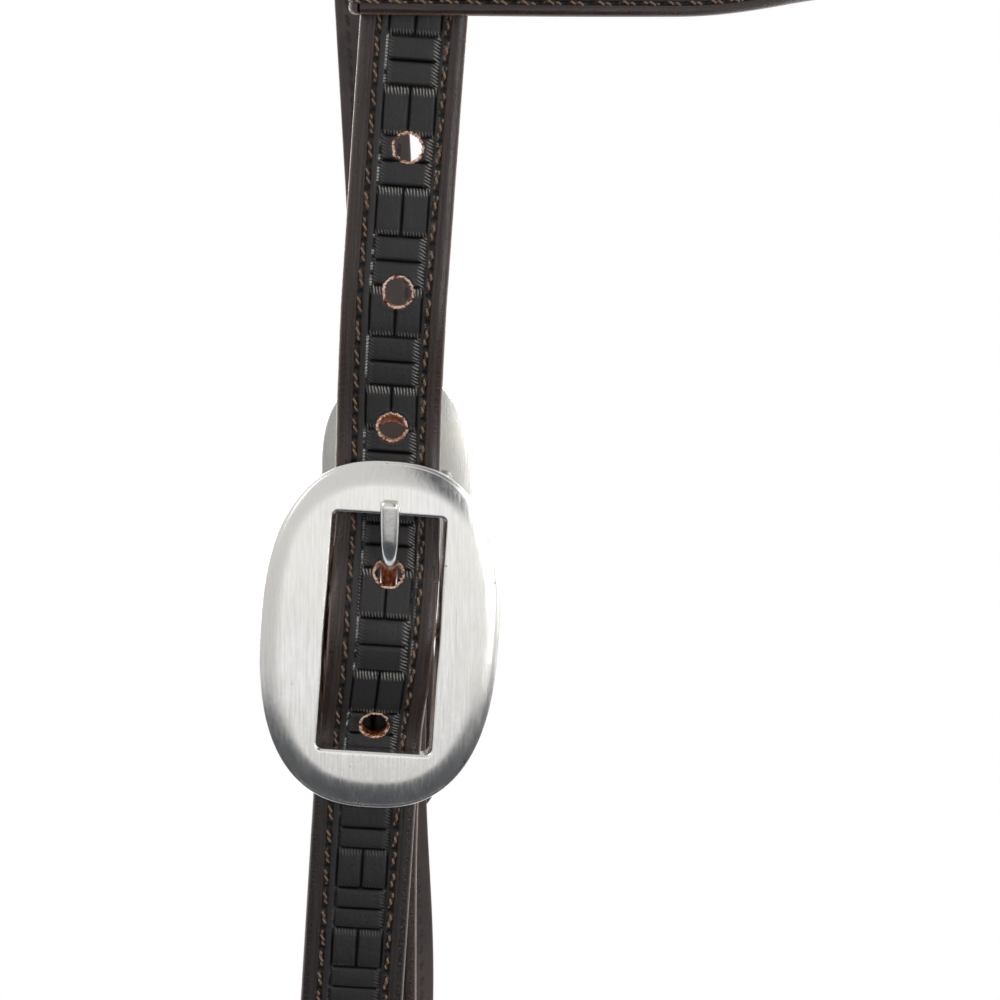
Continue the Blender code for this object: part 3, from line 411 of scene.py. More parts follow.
# Colours as eight-bit numbers
TONES = {
    "margin": (43, 33, 30),
    "margin_cloud": (44, 32, 30),
    "streak": (68, 54, 50),
    "pore": (18, 13, 12),
    "inner": (31, 27, 27),
    "tooled": (26, 23, 23),
    "tooled_cloud": (21, 20, 21),
    "ridge": (96, 90, 88),
    # Painted highlight on the stamp's serrations
    "tick": (176, 172, 164),
    "deep": (9, 8, 8),
    # Painted highlight on the rules beside the panel
    "rule_glint": (238, 238, 232),
    "edge": (112, 84, 68),
    # Painted shade in the crease and the sewing groove
    "crease": (14, 11, 11),
    # Painted shade in the awl holes between stitches
    "pit_shade": (5, 4, 4),
    # Painted shade over the near tail
    "tail": (9, 6, 6),
    "lining": (52, 40, 37),
    "lining_cloud": (38, 29, 28),
    "lining_edge": (84, 56, 42),
    "fibre_deep": (128, 58, 30),
    "fibre_pale": (206, 122, 74),
    "rim_deep": (168, 104, 70),
    "rim_pale": (242, 218, 194),
    "russet": (98, 46, 26),
    "buff": (240, 214, 184),
    "thread_light": (138, 112, 90),
    "thread_dark": (40, 31, 28),
    "back_light": (64, 48, 42),
    "back_dark": (34, 26, 24),
    "fluff": (16, 12, 11),
}
WHITE = (1.0, 1.0, 1.0, 1.0)

# Studio: each lamp's place, target, size and power; the cards; and the camera
LAMPS = {
    "key": ((-1.10, -0.82, 0.55), (0.0, -0.12, -0.27), (0.7, 0.8), 4.4),
    "fill": ((1.0, -0.7, 0.0), (0.0, -0.12, -0.27), (0.5, 1.2), 0.8),
    "strip": ((0.55, -0.91, -0.10), (0.0, -0.13, -0.20), (0.12, 0.62), 3.0),
    "front": ((-0.02, -1.35, -0.44), (0.0, -0.13, -0.28), (1.0, 0.5), 0.66),
    "back_left": ((-0.75, 0.75, 0.1), (0.0, 0.0, -0.25), (0.4, 1.2), 8.0),
    "back_right": ((0.8, 0.8, 0.1), (0.0, 0.0, -0.25), (0.6, 1.2), 8.0),
}
FLOOR_GAP = 0.03
FLOOR_SIZE = (6.0, 6.0)
MAT_GAP = 0.004
MAT_PLACE = (0.0, -0.58)
MAT_SIZE = (1.5, 0.72)
CARD_SPAN = (0.46, 0.68)
FLAG_PLACE = (0.29, -0.84, 0.06)
FLAG_SIZE = (0.38, 0.46)
FLAG_TURN = (math.radians(68), 0.0, math.radians(20))
CAMERA_PLACE = (0.00965, -0.5507, -0.2015)
CAMERA_TURNS = (0.0292, 0.1162, 0.009)
FOCAL_PIXELS = 2416
PHOTO_PIXELS = 1000
SENSOR_WIDTH = 36.0

# Sizes worked out from those above
HALF_WIDTH = STRAP_WIDTH / 2
BILLET_THICK = OUTER_THICK + LAYER_GAP + LINING_THICK
OUTER_OFFSET = (BILLET_THICK - OUTER_THICK) / 2
LINING_OFFSET = (LINING_THICK - BILLET_THICK) / 2
WRAP_RADIUS = BAR_RADIUS + LAYER_GAP + CHEEK_THICK / 2
CHEEK_OFFSET = -(BILLET_THICK / 2 + LAYER_GAP + CHEEK_THICK / 2)
BILLET_OVER_BAR = WRAP_RADIUS - CHEEK_OFFSET
BILLET_UNDER_PLATE = PLATE_STANDOFF - LAYER_GAP - BILLET_THICK / 2
BILLET_FREE = BILLET_UNDER_PLATE + BILLET_LIFT
HUMP_HALF_LENGTH = WINDOW_HALF_HEIGHT - EDGE_ROUND
PLATE_END = FRAME_HALF_HEIGHT + EDGE_ROUND
STRAP_HALF_SPAN = BAR_HALF_SPAN + BILLET_FREE
PLATE_FRONT = PLATE_STANDOFF + FRAME_THICK
PLATE_TOP = PLATE_FRONT + FRAME_DOME
CHEEK_FRONT_N = BILLET_UNDER_PLATE + CHEEK_OFFSET
CHEEK_LINING_N = CHEEK_FRONT_N - CHEEK_THICK / 2 - LAYER_GAP - LINING_THICK / 2
CHEEK_BACK_N = 2 * CHEEK_LINING_N - CHEEK_FRONT_N
LOOP_TURN = BIT_LOOP_RADIUS + CHEEK_THICK / 2
LOOP_CENTRE_U = CHEEK_LENGTH - CHEEK_THICK / 2 - LOOP_TURN
THROAT_U = LOOP_CENTRE_U - BIT_LOOP_THROAT
SIDE_RUN = BAR_DROP - CROWN_RISE + BILLET_THICK / 2
RING_RADIUS = BAR_RADIUS + TONGUE_BAR_GAP + TONGUE_THICK / 2
LEAN_SLOPE = math.tan(SIDE_LEAN)
STRAP_X = (BAR_DROP - BROWBAND_DROP) * LEAN_SLOPE
BROWBAND_TURN = HALF_WIDTH + BROWBAND_SIDE_GAP
BROWBAND_FRONT_OFFSET = BILLET_THICK / 2 + BROWBAND_LOOP_GAP + OUTER_THICK / 2
BROWBAND_LINING_INSET = OUTER_THICK / 2 + LAYER_GAP + LINING_THICK / 2
BROWBAND_TAB_INSET = BROWBAND_LINING_INSET + LINING_THICK / 2 + LAYER_GAP + OUTER_THICK / 2


def smooth_step(share):
    """Cosine blend from 0 to 1, on numbers or arrays."""
    return 0.5 - 0.5 * np.cos(np.pi * np.clip(share, 0.0, 1.0))


def side_matrix(side):
    """World matrix of a side's frame: local X along the bar, -Y outwards, +Z up the strap."""
    bar = Matrix.Translation((0.0, -BAR_HALF_SPAN, -BAR_DROP))
    return Matrix.Rotation(SIDES[side]["turn"], 4, "Z") @ bar @ Matrix.Rotation(SIDE_LEAN, 4, "Y")


def side_point(w, u, n):
    """A point of a side's frame from its w, u and n."""
    return Vector((w, -n, -u))


def billet_line(u):
    """Height n of the billet's middle at u, and its slope."""
    if abs(u) < HUMP_HALF_LENGTH:
        rise = BILLET_OVER_BAR - BILLET_UNDER_PLATE
        turn = math.pi / HUMP_HALF_LENGTH
        height = BILLET_UNDER_PLATE + rise * (0.5 + 0.5 * math.cos(turn * u))
        return height, -rise * turn / 2 * math.sin(turn * u)
    if u < -PLATE_END:
        share = min((-PLATE_END - u) / BILLET_BEND_LENGTH, 1.0)
        slope = -BILLET_LIFT * math.pi / (2 * BILLET_BEND_LENGTH) * math.sin(math.pi * share)
        return BILLET_UNDER_PLATE + BILLET_LIFT * float(smooth_step(share)), slope
    return BILLET_UNDER_PLATE, 0.0


def billet_point(u, offset):
    """A point (u, n) at an offset from the billet's middle, along its normal."""
    n, slope = billet_line(u)
    length = math.hypot(1.0, slope)
    return u - slope * offset / length, n + offset / length


def walk_billet(u, distance, steps=400):
    """The u that lies a distance along the billet's middle from a first u."""
    stride = distance / steps
    for _ in range(steps):
        slope = billet_line(u)[1]
        u += stride / math.hypot(1.0, slope)
    return u


def tail_shift(side, u):
    """Sideways travel of the billet's tail below the bar."""
    return SIDES[side]["tail_skew"] * max(u - TAIL_SKEW_START, 0.0)


def billet_sway(side, u):
    """Small sideways wander of a billet in and below its buckle, and how far it spreads there."""
    if side != "near":
        return float(np.interp(u, *FAR_SWAY)), 0.0
    spread = math.exp(-(((u - NEAR_SWELL_U) / NEAR_SWELL_LENGTH) ** 2))
    return float(np.interp(u, *NEAR_SWAY)), NEAR_SWELL * spread


def cheek_sway(side, u):
    """Small sideways wander of a cheek below its buckle."""
    reach, (start, full, leave, end) = CHEEK_SWAYS[side]
    return reach * float(smooth_step((u - start) / (full - start)) * smooth_step((end - u) / (end - leave)))


def arch_table():
    """Arc length, y and z along the crown's middle line, from the top down the near side."""
    angles = np.linspace(0.0, math.pi / 2, ARCH_STEPS)
    reach = STRAP_HALF_SPAN - CROWN_FLAT / 2
    y = -(CROWN_FLAT / 2 + reach * np.sin(angles))
    z = CROWN_RISE * np.cos(angles) - CROWN_RISE
    arc = CROWN_FLAT / 2 + np.concatenate([[0.0], np.cumsum(np.hypot(np.diff(y), np.diff(z)))])
    return arc, y, z


ARCH_ARC, ARCH_Y, ARCH_Z = arch_table()
ARCH_LENGTH = float(ARCH_ARC[-1])


def arch_profile(arc):
    """Point (y, z) and outward normal of the crown's middle at an arc length, near side negative."""
    side = -1.0 if arc < 0 else 1.0
    length = abs(arc)
    if length <= CROWN_FLAT / 2:
        y, z, slope_y, slope_z = -length, 0.0, -1.0, 0.0
    elif length >= ARCH_LENGTH:
        y, z, slope_y, slope_z = -STRAP_HALF_SPAN, -CROWN_RISE - (length - ARCH_LENGTH), 0.0, -1.0
    else:
        y = float(np.interp(length, ARCH_ARC, ARCH_Y))
        z = float(np.interp(length, ARCH_ARC, ARCH_Z))
        reach = STRAP_HALF_SPAN - CROWN_FLAT / 2
        angle = math.asin(min(-(y + CROWN_FLAT / 2) / reach, 1.0))
        slope_y, slope_z = -reach * math.cos(angle), -CROWN_RISE * math.sin(angle)
        size = math.hypot(slope_y, slope_z)
        slope_y, slope_z = slope_y / size, slope_z / size
    return -side * y, z + BILLET_THICK / 2, -side * slope_z, -slope_y


def arch_sway(arc):
    """Fore and aft place of the crown's middle line along the arch, and its slope."""
    side_run = SIDE_RUN * LEAN_SLOPE
    cubic = (LEAN_SLOPE * ARCH_LENGTH + side_run) / 2
    linear = -side_run - cubic
    share = arc / ARCH_LENGTH
    return linear * share + cubic * share ** 3, (linear + 3 * cubic * share ** 2) / ARCH_LENGTH


def arch_point(arc, w, offset):
    """A point of the crown's arch from its arc length, width place and offset."""
    place, slope = arch_sway(arc)
    size = math.hypot(1.0, slope)
    y, z, normal_y, normal_z = arch_profile(arc - w * slope / size)
    return Vector((place + w / size, y + normal_y * offset, z + normal_z * offset))


def crown_half_width(arc):
    """Half width along the arch, widest over the poll."""
    taper = float(smooth_step((abs(arc) - CROWN_FLAT / 2) / CROWN_TAPER_LENGTH))
    return CROWN_WIDTH / 2 + (HALF_WIDTH - CROWN_WIDTH / 2) * taper



def ease(low, high, value):
    """Smooth step from 0 at low to 1 at high."""
    share = np.clip((value - low) / (high - low), 0.0, 1.0)
    return share * share * (3.0 - 2.0 * share)


def noise_line(values, pitch, salt):
    """Smooth repeatable wander from -1 to 1 along some values."""
    place = np.asarray(values, dtype=float) / pitch
    low = np.floor(place)
    share = place - low
    share = share * share * (3.0 - 2.0 * share)

    def hashed(cell):
        wave = np.sin(cell * 12.9898 + salt * 78.233) * 43758.5453
        return 2.0 * (wave - np.floor(wave)) - 1.0

    return hashed(low) * (1.0 - share) + hashed(low + 1.0) * share


def strand(across, along, half_width, half_length):
    """Height of one raised, flat-topped basketweave strand about its middle."""
    walls = 1.0 - ease(half_width - STRAND_WALL, half_width - STRAND_LIP, np.abs(across))
    round_top = 1.0 - STRAND_CROWN * (across / half_width) ** 2
    ends = 1.0 - ease(half_length - STRAND_END, half_length - STRAND_LIP, np.abs(along))
    dive = 1.0 - STRAND_DIVE * (np.abs(along) / half_length) ** 3
    return walls * round_top * (STRAND_END_SHARE + (1.0 - STRAND_END_SHARE) * ends) * dive


def weave_cell(s, w):
    """Place in the basketweave: along and across its cell, and whether the strands run lengthwise."""
    column = np.floor((w + TOOL_HALF_WIDTH) / (2 * TOOL_HALF_WIDTH))
    w = w - column * 2 * TOOL_HALF_WIDTH
    number = np.floor((s - TOOL_PHASE) / CELL)
    along = s - TOOL_PHASE - (number + 0.5) * CELL
    return along, w, np.mod(number + column, 2) == 0


def weave(s, w):
    """Basketweave height from 0 to 1: pairs of long strands and pairs of cross strands in turn."""
    along, w, lengthwise = weave_cell(s, w)
    half_strand = TOOL_HALF_WIDTH / 2
    long_w = w - np.where(w > 0, half_strand, -half_strand)
    upright = strand(long_w, along, half_strand, CELL / 2)
    cross_s = along - np.where(along > 0, CELL / 4, -CELL / 4)
    flat = strand(cross_s, w, CELL / 4, TOOL_HALF_WIDTH)
    return np.where(lengthwise, upright, flat)


def tick_band(place, end, band):
    """Serration near a strand's end, from 0 to its strength."""
    start, full, strength = band
    return ease(end - start, end - full, place) * strength


def weave_ticks(s, w):
    """Where the stamp's serrations show: at the ends of long strands, and at the ends of cross ones."""
    along, w, lengthwise = weave_cell(s, w)
    long_ends = np.maximum(tick_band(along, CELL / 2, TICK_TOP), tick_band(-along, CELL / 2, TICK_LOW))
    upright = long_ends * ease(*STRAND_GROOVE, np.abs(w))
    flat = np.maximum(tick_band(w, TOOL_HALF_WIDTH, TICK_RIGHT), tick_band(-w, TOOL_HALF_WIDTH, TICK_LEFT))
    return np.where(lengthwise, upright, 0.0), np.where(lengthwise, 0.0, flat)


class Path:
    """Stations along a strap: point, width and outward directions, half width and running length."""

    def __init__(self, points, wides, normals, halves, shift=0.0):
        self.point = np.array([tuple(p) for p in points])
        self.wide = np.array([tuple(p) for p in wides])
        self.normal = np.array([tuple(p) for p in normals])
        self.half = np.array(halves, dtype=float)
        steps = np.linalg.norm(np.diff(self.point, axis=0), axis=1)
        self.run = np.concatenate([[0.0], np.cumsum(steps)]) - shift
        self.knots = None
        self.closer = 1.0

    def even(self, run):
        """The run of even tooling and sewing at a run along this strap."""
        return run if self.knots is None else np.interp(run, *self.knots)

    def uneven(self, run):
        """The run along this strap at a run of even tooling and sewing."""
        return run if self.knots is None else np.interp(run, *self.knots[::-1])

    def at(self, run, w, d):
        """Points of the strap at running lengths, width places and heights, as rows."""
        run, w, d = np.broadcast_arrays(run, w, d)
        out = np.zeros(run.shape + (3,))
        for axis in range(3):
            base = np.interp(run, self.run, self.point[:, axis])
            across = np.interp(run, self.run, self.wide[:, axis])
            up = np.interp(run, self.run, self.normal[:, axis])
            out[..., axis] = base + w * across + d * up
        return out

    def dense(self, runs):
        """The same strap with its stations at other running lengths."""
        wide = self.at(runs, 1.0, 0.0) - self.at(runs, 0.0, 0.0)
        up = self.at(runs, 0.0, 1.0) - self.at(runs, 0.0, 0.0)
        wide /= np.linalg.norm(wide, axis=1, keepdims=True)
        up /= np.linalg.norm(up, axis=1, keepdims=True)
        made = Path(self.at(runs, 0.0, 0.0), wide, up, np.interp(runs, self.run, self.half))
        made.run = np.array(runs, dtype=float)
        made.knots = self.knots
        made.closer = self.closer
        return made


def bevel_heights():
    """Insets and heights of the border's bevel: steep at the edge, then a long flat slope."""
    insets = np.linspace(0.0, BEVEL_LENGTH, 111)
    slope = np.interp(insets * 1000, BEVEL_INSETS_MM, BEVEL_SLOPES)
    rise = np.concatenate([[0.0], np.cumsum((slope[1:] + slope[:-1]) / 2 * np.diff(insets))])
    return insets, rise - rise[-1]


BEVEL = bevel_heights()


def round_drop(inset, reach):
    """Share, from 1 at the edge to 0, by which a rounded edge falls away."""
    share = 1.0 - np.clip(inset / reach, 0.0, 1.0)
    return 1.0 - np.sqrt(np.maximum(1.0 - share ** 2, 0.0))


def hollow(inset, place, width, power=2):
    """Bell-shaped share round an inset."""
    return np.exp(-((inset - place) / width) ** power)


def edge_profile(inset, tooled):
    """Front height of a strap's border at an inset: round edge, crease and sewing groove."""
    if not tooled:
        seam = hollow(inset, STITCH_INSET, PLAIN_GROOVE_WIDTH)
        return -PLAIN_ROUND * round_drop(inset, PLAIN_ROUND) - PLAIN_GROOVE_DEPTH * seam
    crease = hollow(inset, CREASE_INSET, CREASE_WIDTH)
    groove = hollow(inset, STITCH_INSET, GROOVE_WIDTH, 4)
    return np.interp(inset, *BEVEL) - CREASE_DEPTH * crease - GROOVE_DEPTH * groove


def sewing_pits(run, inset):
    """Depth share of the awl holes between stitches, from 0 to 1."""
    place = np.mod(run + STITCH_PITCH - STITCH_PHASE, STITCH_PITCH) - STITCH_PITCH / 2
    place = np.abs(np.abs(place) - STITCH_PITCH / 2)
    return np.exp(-(place / PIT_LENGTH) ** 2 - ((inset - STITCH_INSET) / PIT_WIDTH) ** 2)


def flatten_holes(d, run, w, holes):
    """Border round each punched hole pressed flat, with a low lip."""
    lip_height, lip_place, lip_width = HOLE_LIP
    for hole_run, hole_w, radius in holes:
        if isinstance(radius, tuple):
            continue
        away = np.hypot(run - hole_run, w - hole_w) - radius
        flat = 1.0 - ease(*HOLE_FLAT, away)
        d = d * (1.0 - flat) - HOLE_SINK * flat + lip_height * hollow(away, lip_place, lip_width)
    return d


def tooling(w, half, even, tail):
    """The stamped panel's height and the masks its material reads."""
    w_tool = w - TOOL_MIDDLE
    tool_half = half - (HALF_WIDTH - TOOL_HALF_WIDTH)
    fade = np.clip((half - HALF_WIDTH * TOOL_FADE) / (HALF_WIDTH * (1.0 - TOOL_FADE)), 0.0, 1.0)
    tool = (1.0 - ease(*TOOL_EDGE, np.abs(w_tool) - tool_half)) * fade
    height = weave(even, w_tool)
    border = np.abs(w_tool) > tool_half - TOOL_BORDER
    relief = np.where(border, np.maximum(height, TOOL_BORDER_LEVEL), height)
    # Where the rules' painted highlight shows: on full-width straps, by the cross strands on the left, all
    # along the right
    standard = 1.0 - ease(*RULE_WIDTHS, np.abs(half - HALF_WIDTH))
    reach = TOOL_HALF_WIDTH * RULE_REACH
    crosswise = 1.0 - weave_cell(even, np.clip(w_tool, -reach, reach))[2]
    rule_glint = np.where(w_tool < 0, crosswise, RULE_RIGHT[0] + RULE_RIGHT[1] * crosswise)
    # The serrations' painted highlight, weaker under the near tail's painted shade
    tick_w, tick_s = (tick * tool * (1.0 - TAIL_SHADE_TICK_LOSS * tail) for tick in weave_ticks(even, w_tool))
    return tool * TOOL_DEPTH * (height - TOOL_LEVEL), {
        "tool": tool,
        "relief": np.where(tool > 0.01, relief, PLAIN_RELIEF),
        "tick_w": tick_w,
        "tick_s": tick_s,
        "rule_glint": rule_glint * standard * (1.0 - RULE_TAIL_SHADE_LOSS * tail),
    }


def strap_section(path, thick, tooled, holes):
    """Closed cross sections of a layer: width places, heights and the masks its material reads."""
    edge = FINE_INSETS if tooled else COARSE_INSETS
    middle = np.linspace(-1.0, 1.0, FINE_COLUMNS if tooled else COARSE_COLUMNS)
    half = path.half[:, None]
    core = np.maximum(half - edge[-1], half * 0.2)
    squeeze = np.minimum(half / HALF_WIDTH, 1.0)
    insets = edge[None, :] * squeeze
    w = np.concatenate([insets - half, middle[None, 1:-1] * core, (half - insets)[:, ::-1]], axis=1)
    inset = (half - np.abs(w)) * path.closer
    run = path.run[:, None] + np.zeros_like(w)
    even = path.even(run)
    plain = {label: np.full_like(w, PLAIN_RELIEF if label == "relief" else 0.0) for label in MASKS}
    masks = dict(plain, pits=sewing_pits(even, inset))
    # Painted shade over the near tail; only the crown's path has knots
    if path.knots is not None:
        masks["tail"] = 1.0 - ease(*TAIL_SHADE_MASK, run)
    d = edge_profile(inset / squeeze, tooled) - PIT_DEPTH * masks["pits"]
    if tooled:
        relief, stamped = tooling(w, half, even, masks["tail"])
        masks.update(stamped)
        d = d + relief
    d = flatten_holes(d, run, w, holes)
    wander, pitch, lean, salt = SURFACE_WANDER
    front = thick / 2 + d + wander * noise_line(run + lean * w, pitch, salt)
    back = -thick / 2 + BACK_ROUND * round_drop(inset, BACK_ROUND)
    masks = {label: np.concatenate([mask, plain[label]], axis=1) for label, mask in masks.items()}
    masks["inset"] = np.concatenate([inset, inset[:, ::-1]], axis=1)
    all_w = np.concatenate([w, w[:, ::-1]], axis=1)
    all_d = np.concatenate([front, back[:, ::-1]], axis=1)
    return all_w, all_d, masks


def mesh_from(name, verts, faces, attributes=(), uv=None):
    """A smooth mesh from arrays, with float attributes and a UV for each vertex."""
    mesh = bpy.data.meshes.new(name)
    mesh.from_pydata([tuple(v) for v in verts], [], [tuple(f) for f in faces])
    for label, values in attributes:
        layer = mesh.attributes.new(label, "FLOAT", "POINT")
        layer.data.foreach_set("value", np.asarray(values, dtype=np.float32))
    if uv is not None:
        layer = mesh.uv_layers.new(name="UVMap")
        corner = np.zeros(len(mesh.loops), dtype=np.int32)
        mesh.loops.foreach_get("vertex_index", corner)
        layer.data.foreach_set("uv", np.asarray(uv, dtype=np.float32)[corner].ravel())
    mesh.shade_smooth()
    mesh.validate()
    mesh.update()
    return mesh


def keep_creases(mesh, degrees):
    """Shade a mesh smooth but for its creases."""
    mesh.shade_smooth()
    mesh.set_sharp_from_angle(angle=math.radians(degrees))
    return mesh


def cut_walls(keep, columns):
    """Faces that join the front and back rims of the cells cut out of a strap."""
    gone = ~keep[:, : columns // 2 - 1]
    padded = np.pad(gone, 1)

    def rim(start, end):
        ahead = [row * columns + column for row, column in (start, end)]
        behind = [row * columns + columns - 1 - column for row, column in (end, start)]
        return tuple(ahead + behind)

    faces = []
    for i, c in zip(*np.nonzero(gone)):
        sides = (
            (padded[i, c + 1], (i, c), (i, c + 1)),
            (padded[i + 2, c + 1], (i + 1, c + 1), (i + 1, c)),
            (padded[i + 1, c], (i + 1, c), (i, c)),
            (padded[i + 1, c + 2], (i, c + 1), (i + 1, c + 1)),
        )
        faces += [rim(start, end) for cut_too, start, end in sides if not cut_too]
    return faces


def punch(run, w, quads, on_face, hole):
    """Which faces a hole takes away; a round hole's rim is moved onto its circle."""
    hole_run, hole_w, radius = hole
    mid_run = run[quads].mean(axis=1) - hole_run
    mid_w = w[quads].mean(axis=1) - hole_w
    if isinstance(radius, tuple):
        return (np.abs(mid_run) < radius[0]) & (np.abs(mid_w) < radius[1]) & on_face
    inside = (np.hypot(mid_run, mid_w) < radius) & on_face
    rim = np.intersect1d(quads[inside], quads[~inside])
    away_run, away_w = run[rim] - hole_run, w[rim] - hole_w
    size = np.maximum(np.hypot(away_run, away_w), radius / 100)
    run[rim] = hole_run + away_run / size * radius
    w[rim] = hole_w + away_w / size * radius
    return inside


def strap_mesh(name, path, thick, lift, tooled, holes):
    """A closed strap layer; holes are (run, w, radius) and open both its faces."""
    w, d, masks = strap_section(path, thick, tooled, holes)
    rows, columns = w.shape
    number = np.arange(rows * columns).reshape(rows, columns)
    following = np.roll(number, -1, axis=1)
    quads = np.stack([number[:-1], following[:-1], following[1:], number[1:]], axis=-1).reshape(-1, 4)
    run, w = np.repeat(path.run, columns), w.ravel().copy()
    on_face = np.ones(columns, dtype=bool)
    on_face[[columns // 2 - 1, columns - 1]] = False
    on_face = np.tile(on_face, rows - 1)
    keep = np.ones(len(quads), dtype=bool)
    for hole in holes:
        keep &= ~punch(run, w, quads, on_face, hole)
    verts = path.at(run, w, d.ravel() + lift)
    faces = [tuple(q) for q in quads[keep]] + [tuple(number[0][::-1]), tuple(number[-1])]
    faces += cut_walls(keep.reshape(rows - 1, columns), columns)
    probe = quads[len(quads) // 2]
    facing = np.cross(verts[probe[1]] - verts[probe[0]], verts[probe[3]] - verts[probe[0]])
    outward = verts[probe[0]] - path.point[len(quads) // 2 // columns]
    if float(np.dot(facing, outward)) < 0:
        faces = [face[::-1] for face in faces]
    attributes = [(label, mask.ravel()) for label, mask in masks.items()]
    return keep_creases(mesh_from(name, verts, faces, attributes, np.stack([run, w], axis=-1)), 75)


def billet_half_width(u):
    """Half width of the billet, drawn in to a rounded tip."""
    share = max(u - (TAIL_LENGTH - TAIL_TIP_LENGTH), 0.0) / TAIL_TIP_LENGTH
    return HALF_WIDTH * max(math.sqrt(max(1.0 - share ** 2, 0.0)), TAIL_TIP_LEAST)


def crown_path():
    """The crown's middle, from the near tip over the poll to the far tip; run is zero at the near bar."""
    points, wides, normals, halves = [], [], [], []
    arch_start = -SIDE_RUN / math.cos(SIDE_LEAN)
    down = np.arange(TAIL_LENGTH - TIP_INSETS[-1] - TIP_GAP, arch_start, -BILLET_SPACING)
    down = np.concatenate([TAIL_LENGTH - TIP_INSETS, down])

    def billet(side, u):
        place = side_matrix(side)
        line_u, line_n = billet_point(u, 0.0)
        up_u, up_n = billet_point(u, 1.0)
        sway, spread = billet_sway(side, u)
        points.append(place @ side_point(tail_shift(side, u) + sway, line_u, line_n))
        wides.append(place.to_3x3() @ Vector((1.0 if side == "near" else -1.0, 0.0, 0.0)))
        normals.append((place.to_3x3() @ side_point(0.0, up_u - line_u, up_n - line_n)).normalized())
        halves.append(billet_half_width(u) + spread)

    for u in down:
        billet("near", float(u))
    for arc in np.linspace(-ARCH_LENGTH, ARCH_LENGTH, ARCH_STATIONS)[1:-1]:
        half = crown_half_width(arc)
        middle = arch_point(arc, 0.0, 0.0)
        points.append(middle)
        wides.append((arch_point(arc, half, 0.0) - arch_point(arc, -half, 0.0)) / (2 * half))
        normals.append((arch_point(arc, 0.0, 1.0) - middle).normalized())
        halves.append(half)
    for u in down[::-1]:
        billet("far", float(u))
    path = Path(points, wides, normals, halves)
    path.knots = (TAIL_RUNS, TAIL_EVEN_RUNS)
    up, count = down[::-1], len(down)
    path.run -= float(np.interp(0.0, up, path.run[:count][::-1]))
    path.near_run = lambda u: float(np.interp(u, up, path.run[:count][::-1]))
    path.far_run = lambda u: float(np.interp(u, up, path.run[-count:]))
    return path


def runs_between(path, stops):
    """Running lengths from the path's start to its end, with a spacing for each stretch (end, spacing)."""
    runs = [float(path.run[0])]
    for end, spacing in stops:
        count = max(int(round((end - runs[-1]) / spacing)), 1)
        runs.extend(np.linspace(runs[-1], end, count + 1)[1:].tolist())
    return np.array(runs)


def close_ends(path, runs, reach):
    """Running lengths with closer stations at both rounded ends of a path."""
    ends = reach * END_SHARES
    return np.unique(np.concatenate([runs, path.run[0] + ends, path.run[-1] - ends]))


def round_corners(path, cut):
    """Draw a strip's half width in at both its ends, as rounded corners do."""
    ends = np.minimum(path.run - path.run[0], path.run[-1] - path.run)
    share = np.clip(1.0 - ends / END_REACH, 0.0, 1.0)
    path.half = path.half * (1.0 - cut * (1.0 - np.sqrt(1.0 - share ** 2 * 0.999)))


def chape_points():
    """The cheek's turned-back end behind the bar (u, n), from its tip up to the bar."""
    points = [(u, CHEEK_BACK_N) for u in np.arange(CHAPE_LENGTH, CHAPE_SPREAD_LENGTH, -STRIP_SPACING)]
    for u in CHAPE_SPREAD_LENGTH * (1 - np.arange(15) / 15):
        blend = float(smooth_step(u / CHAPE_SPREAD_LENGTH))
        points.append((u, -WRAP_RADIUS + (CHEEK_BACK_N + WRAP_RADIUS) * blend))
    return points


def wrap_points():
    """The cheek's turn over the bar (u, n), from back to front."""
    angles = [math.pi * step / WRAP_STEPS for step in range(WRAP_STEPS)]
    return [(-WRAP_RADIUS * math.sin(a), -WRAP_RADIUS * math.cos(a)) for a in angles]


def bit_loop_points():
    """The bit loop and its flap (u, n), from the throat round the bottom and up behind."""
    half_gap = CHEEK_FRONT_N - CHEEK_LINING_N
    front = []
    for share in np.arange(20) / 20:
        spread = (LOOP_TURN - half_gap) * float(smooth_step(share))
        front.append((THROAT_U + BIT_LOOP_THROAT * share, half_gap + spread))
    angles = np.linspace(0.0, math.pi, 41)
    turn = [(LOOP_CENTRE_U + LOOP_TURN * math.sin(a), LOOP_TURN * math.cos(a)) for a in angles]
    flap_end = THROAT_U - BIT_FLAP_LENGTH
    back = [(u, -n) for u, n in reversed(front)]
    back += [(u, -half_gap) for u in np.arange(THROAT_U - STRIP_SPACING, flap_end, -STRIP_SPACING)]
    back.append((flap_end, -half_gap))
    return [(u, CHEEK_LINING_N + n) for u, n in front + turn + back]


def side_strip_path(side, profile):
    """A cheek layer's path from its profile (u, n), normals turned to the strip's outer face."""
    place = side_matrix(side)
    turn = place.to_3x3()
    skew = SIDES[side]["cheek_skew"]
    points = [place @ side_point(skew * u + cheek_sway(side, u), u, n) for u, n in profile]
    along = np.gradient(np.array(profile), axis=0)
    along /= np.maximum(np.linalg.norm(along, axis=1, keepdims=True), 1e-12)
    normals = [turn @ side_point(0.0, -v, u) for u, v in along]
    wides = [turn @ Vector((1.0, 0.0, -skew * u)).normalized() for u, _ in along]
    return Path(points, wides, normals, [HALF_WIDTH] * len(profile))


def cheek_path(side):
    """The cheek strip from the chape's tip round the bar and down to the flap's end."""
    chape = chape_points()
    front = [billet_point(u, CHEEK_OFFSET) for u in np.arange(0.0, HUMP_HALF_LENGTH, BILLET_SPACING)]
    front += [(u, CHEEK_FRONT_N) for u in np.arange(HUMP_HALF_LENGTH, THROAT_U, STRIP_SPACING)]
    path = side_strip_path(side, chape + wrap_points() + front + bit_loop_points())
    round_corners(path, CHEEK_CORNER_CUT)
    path.run -= path.run[len(chape) + WRAP_STEPS // 2]
    return path


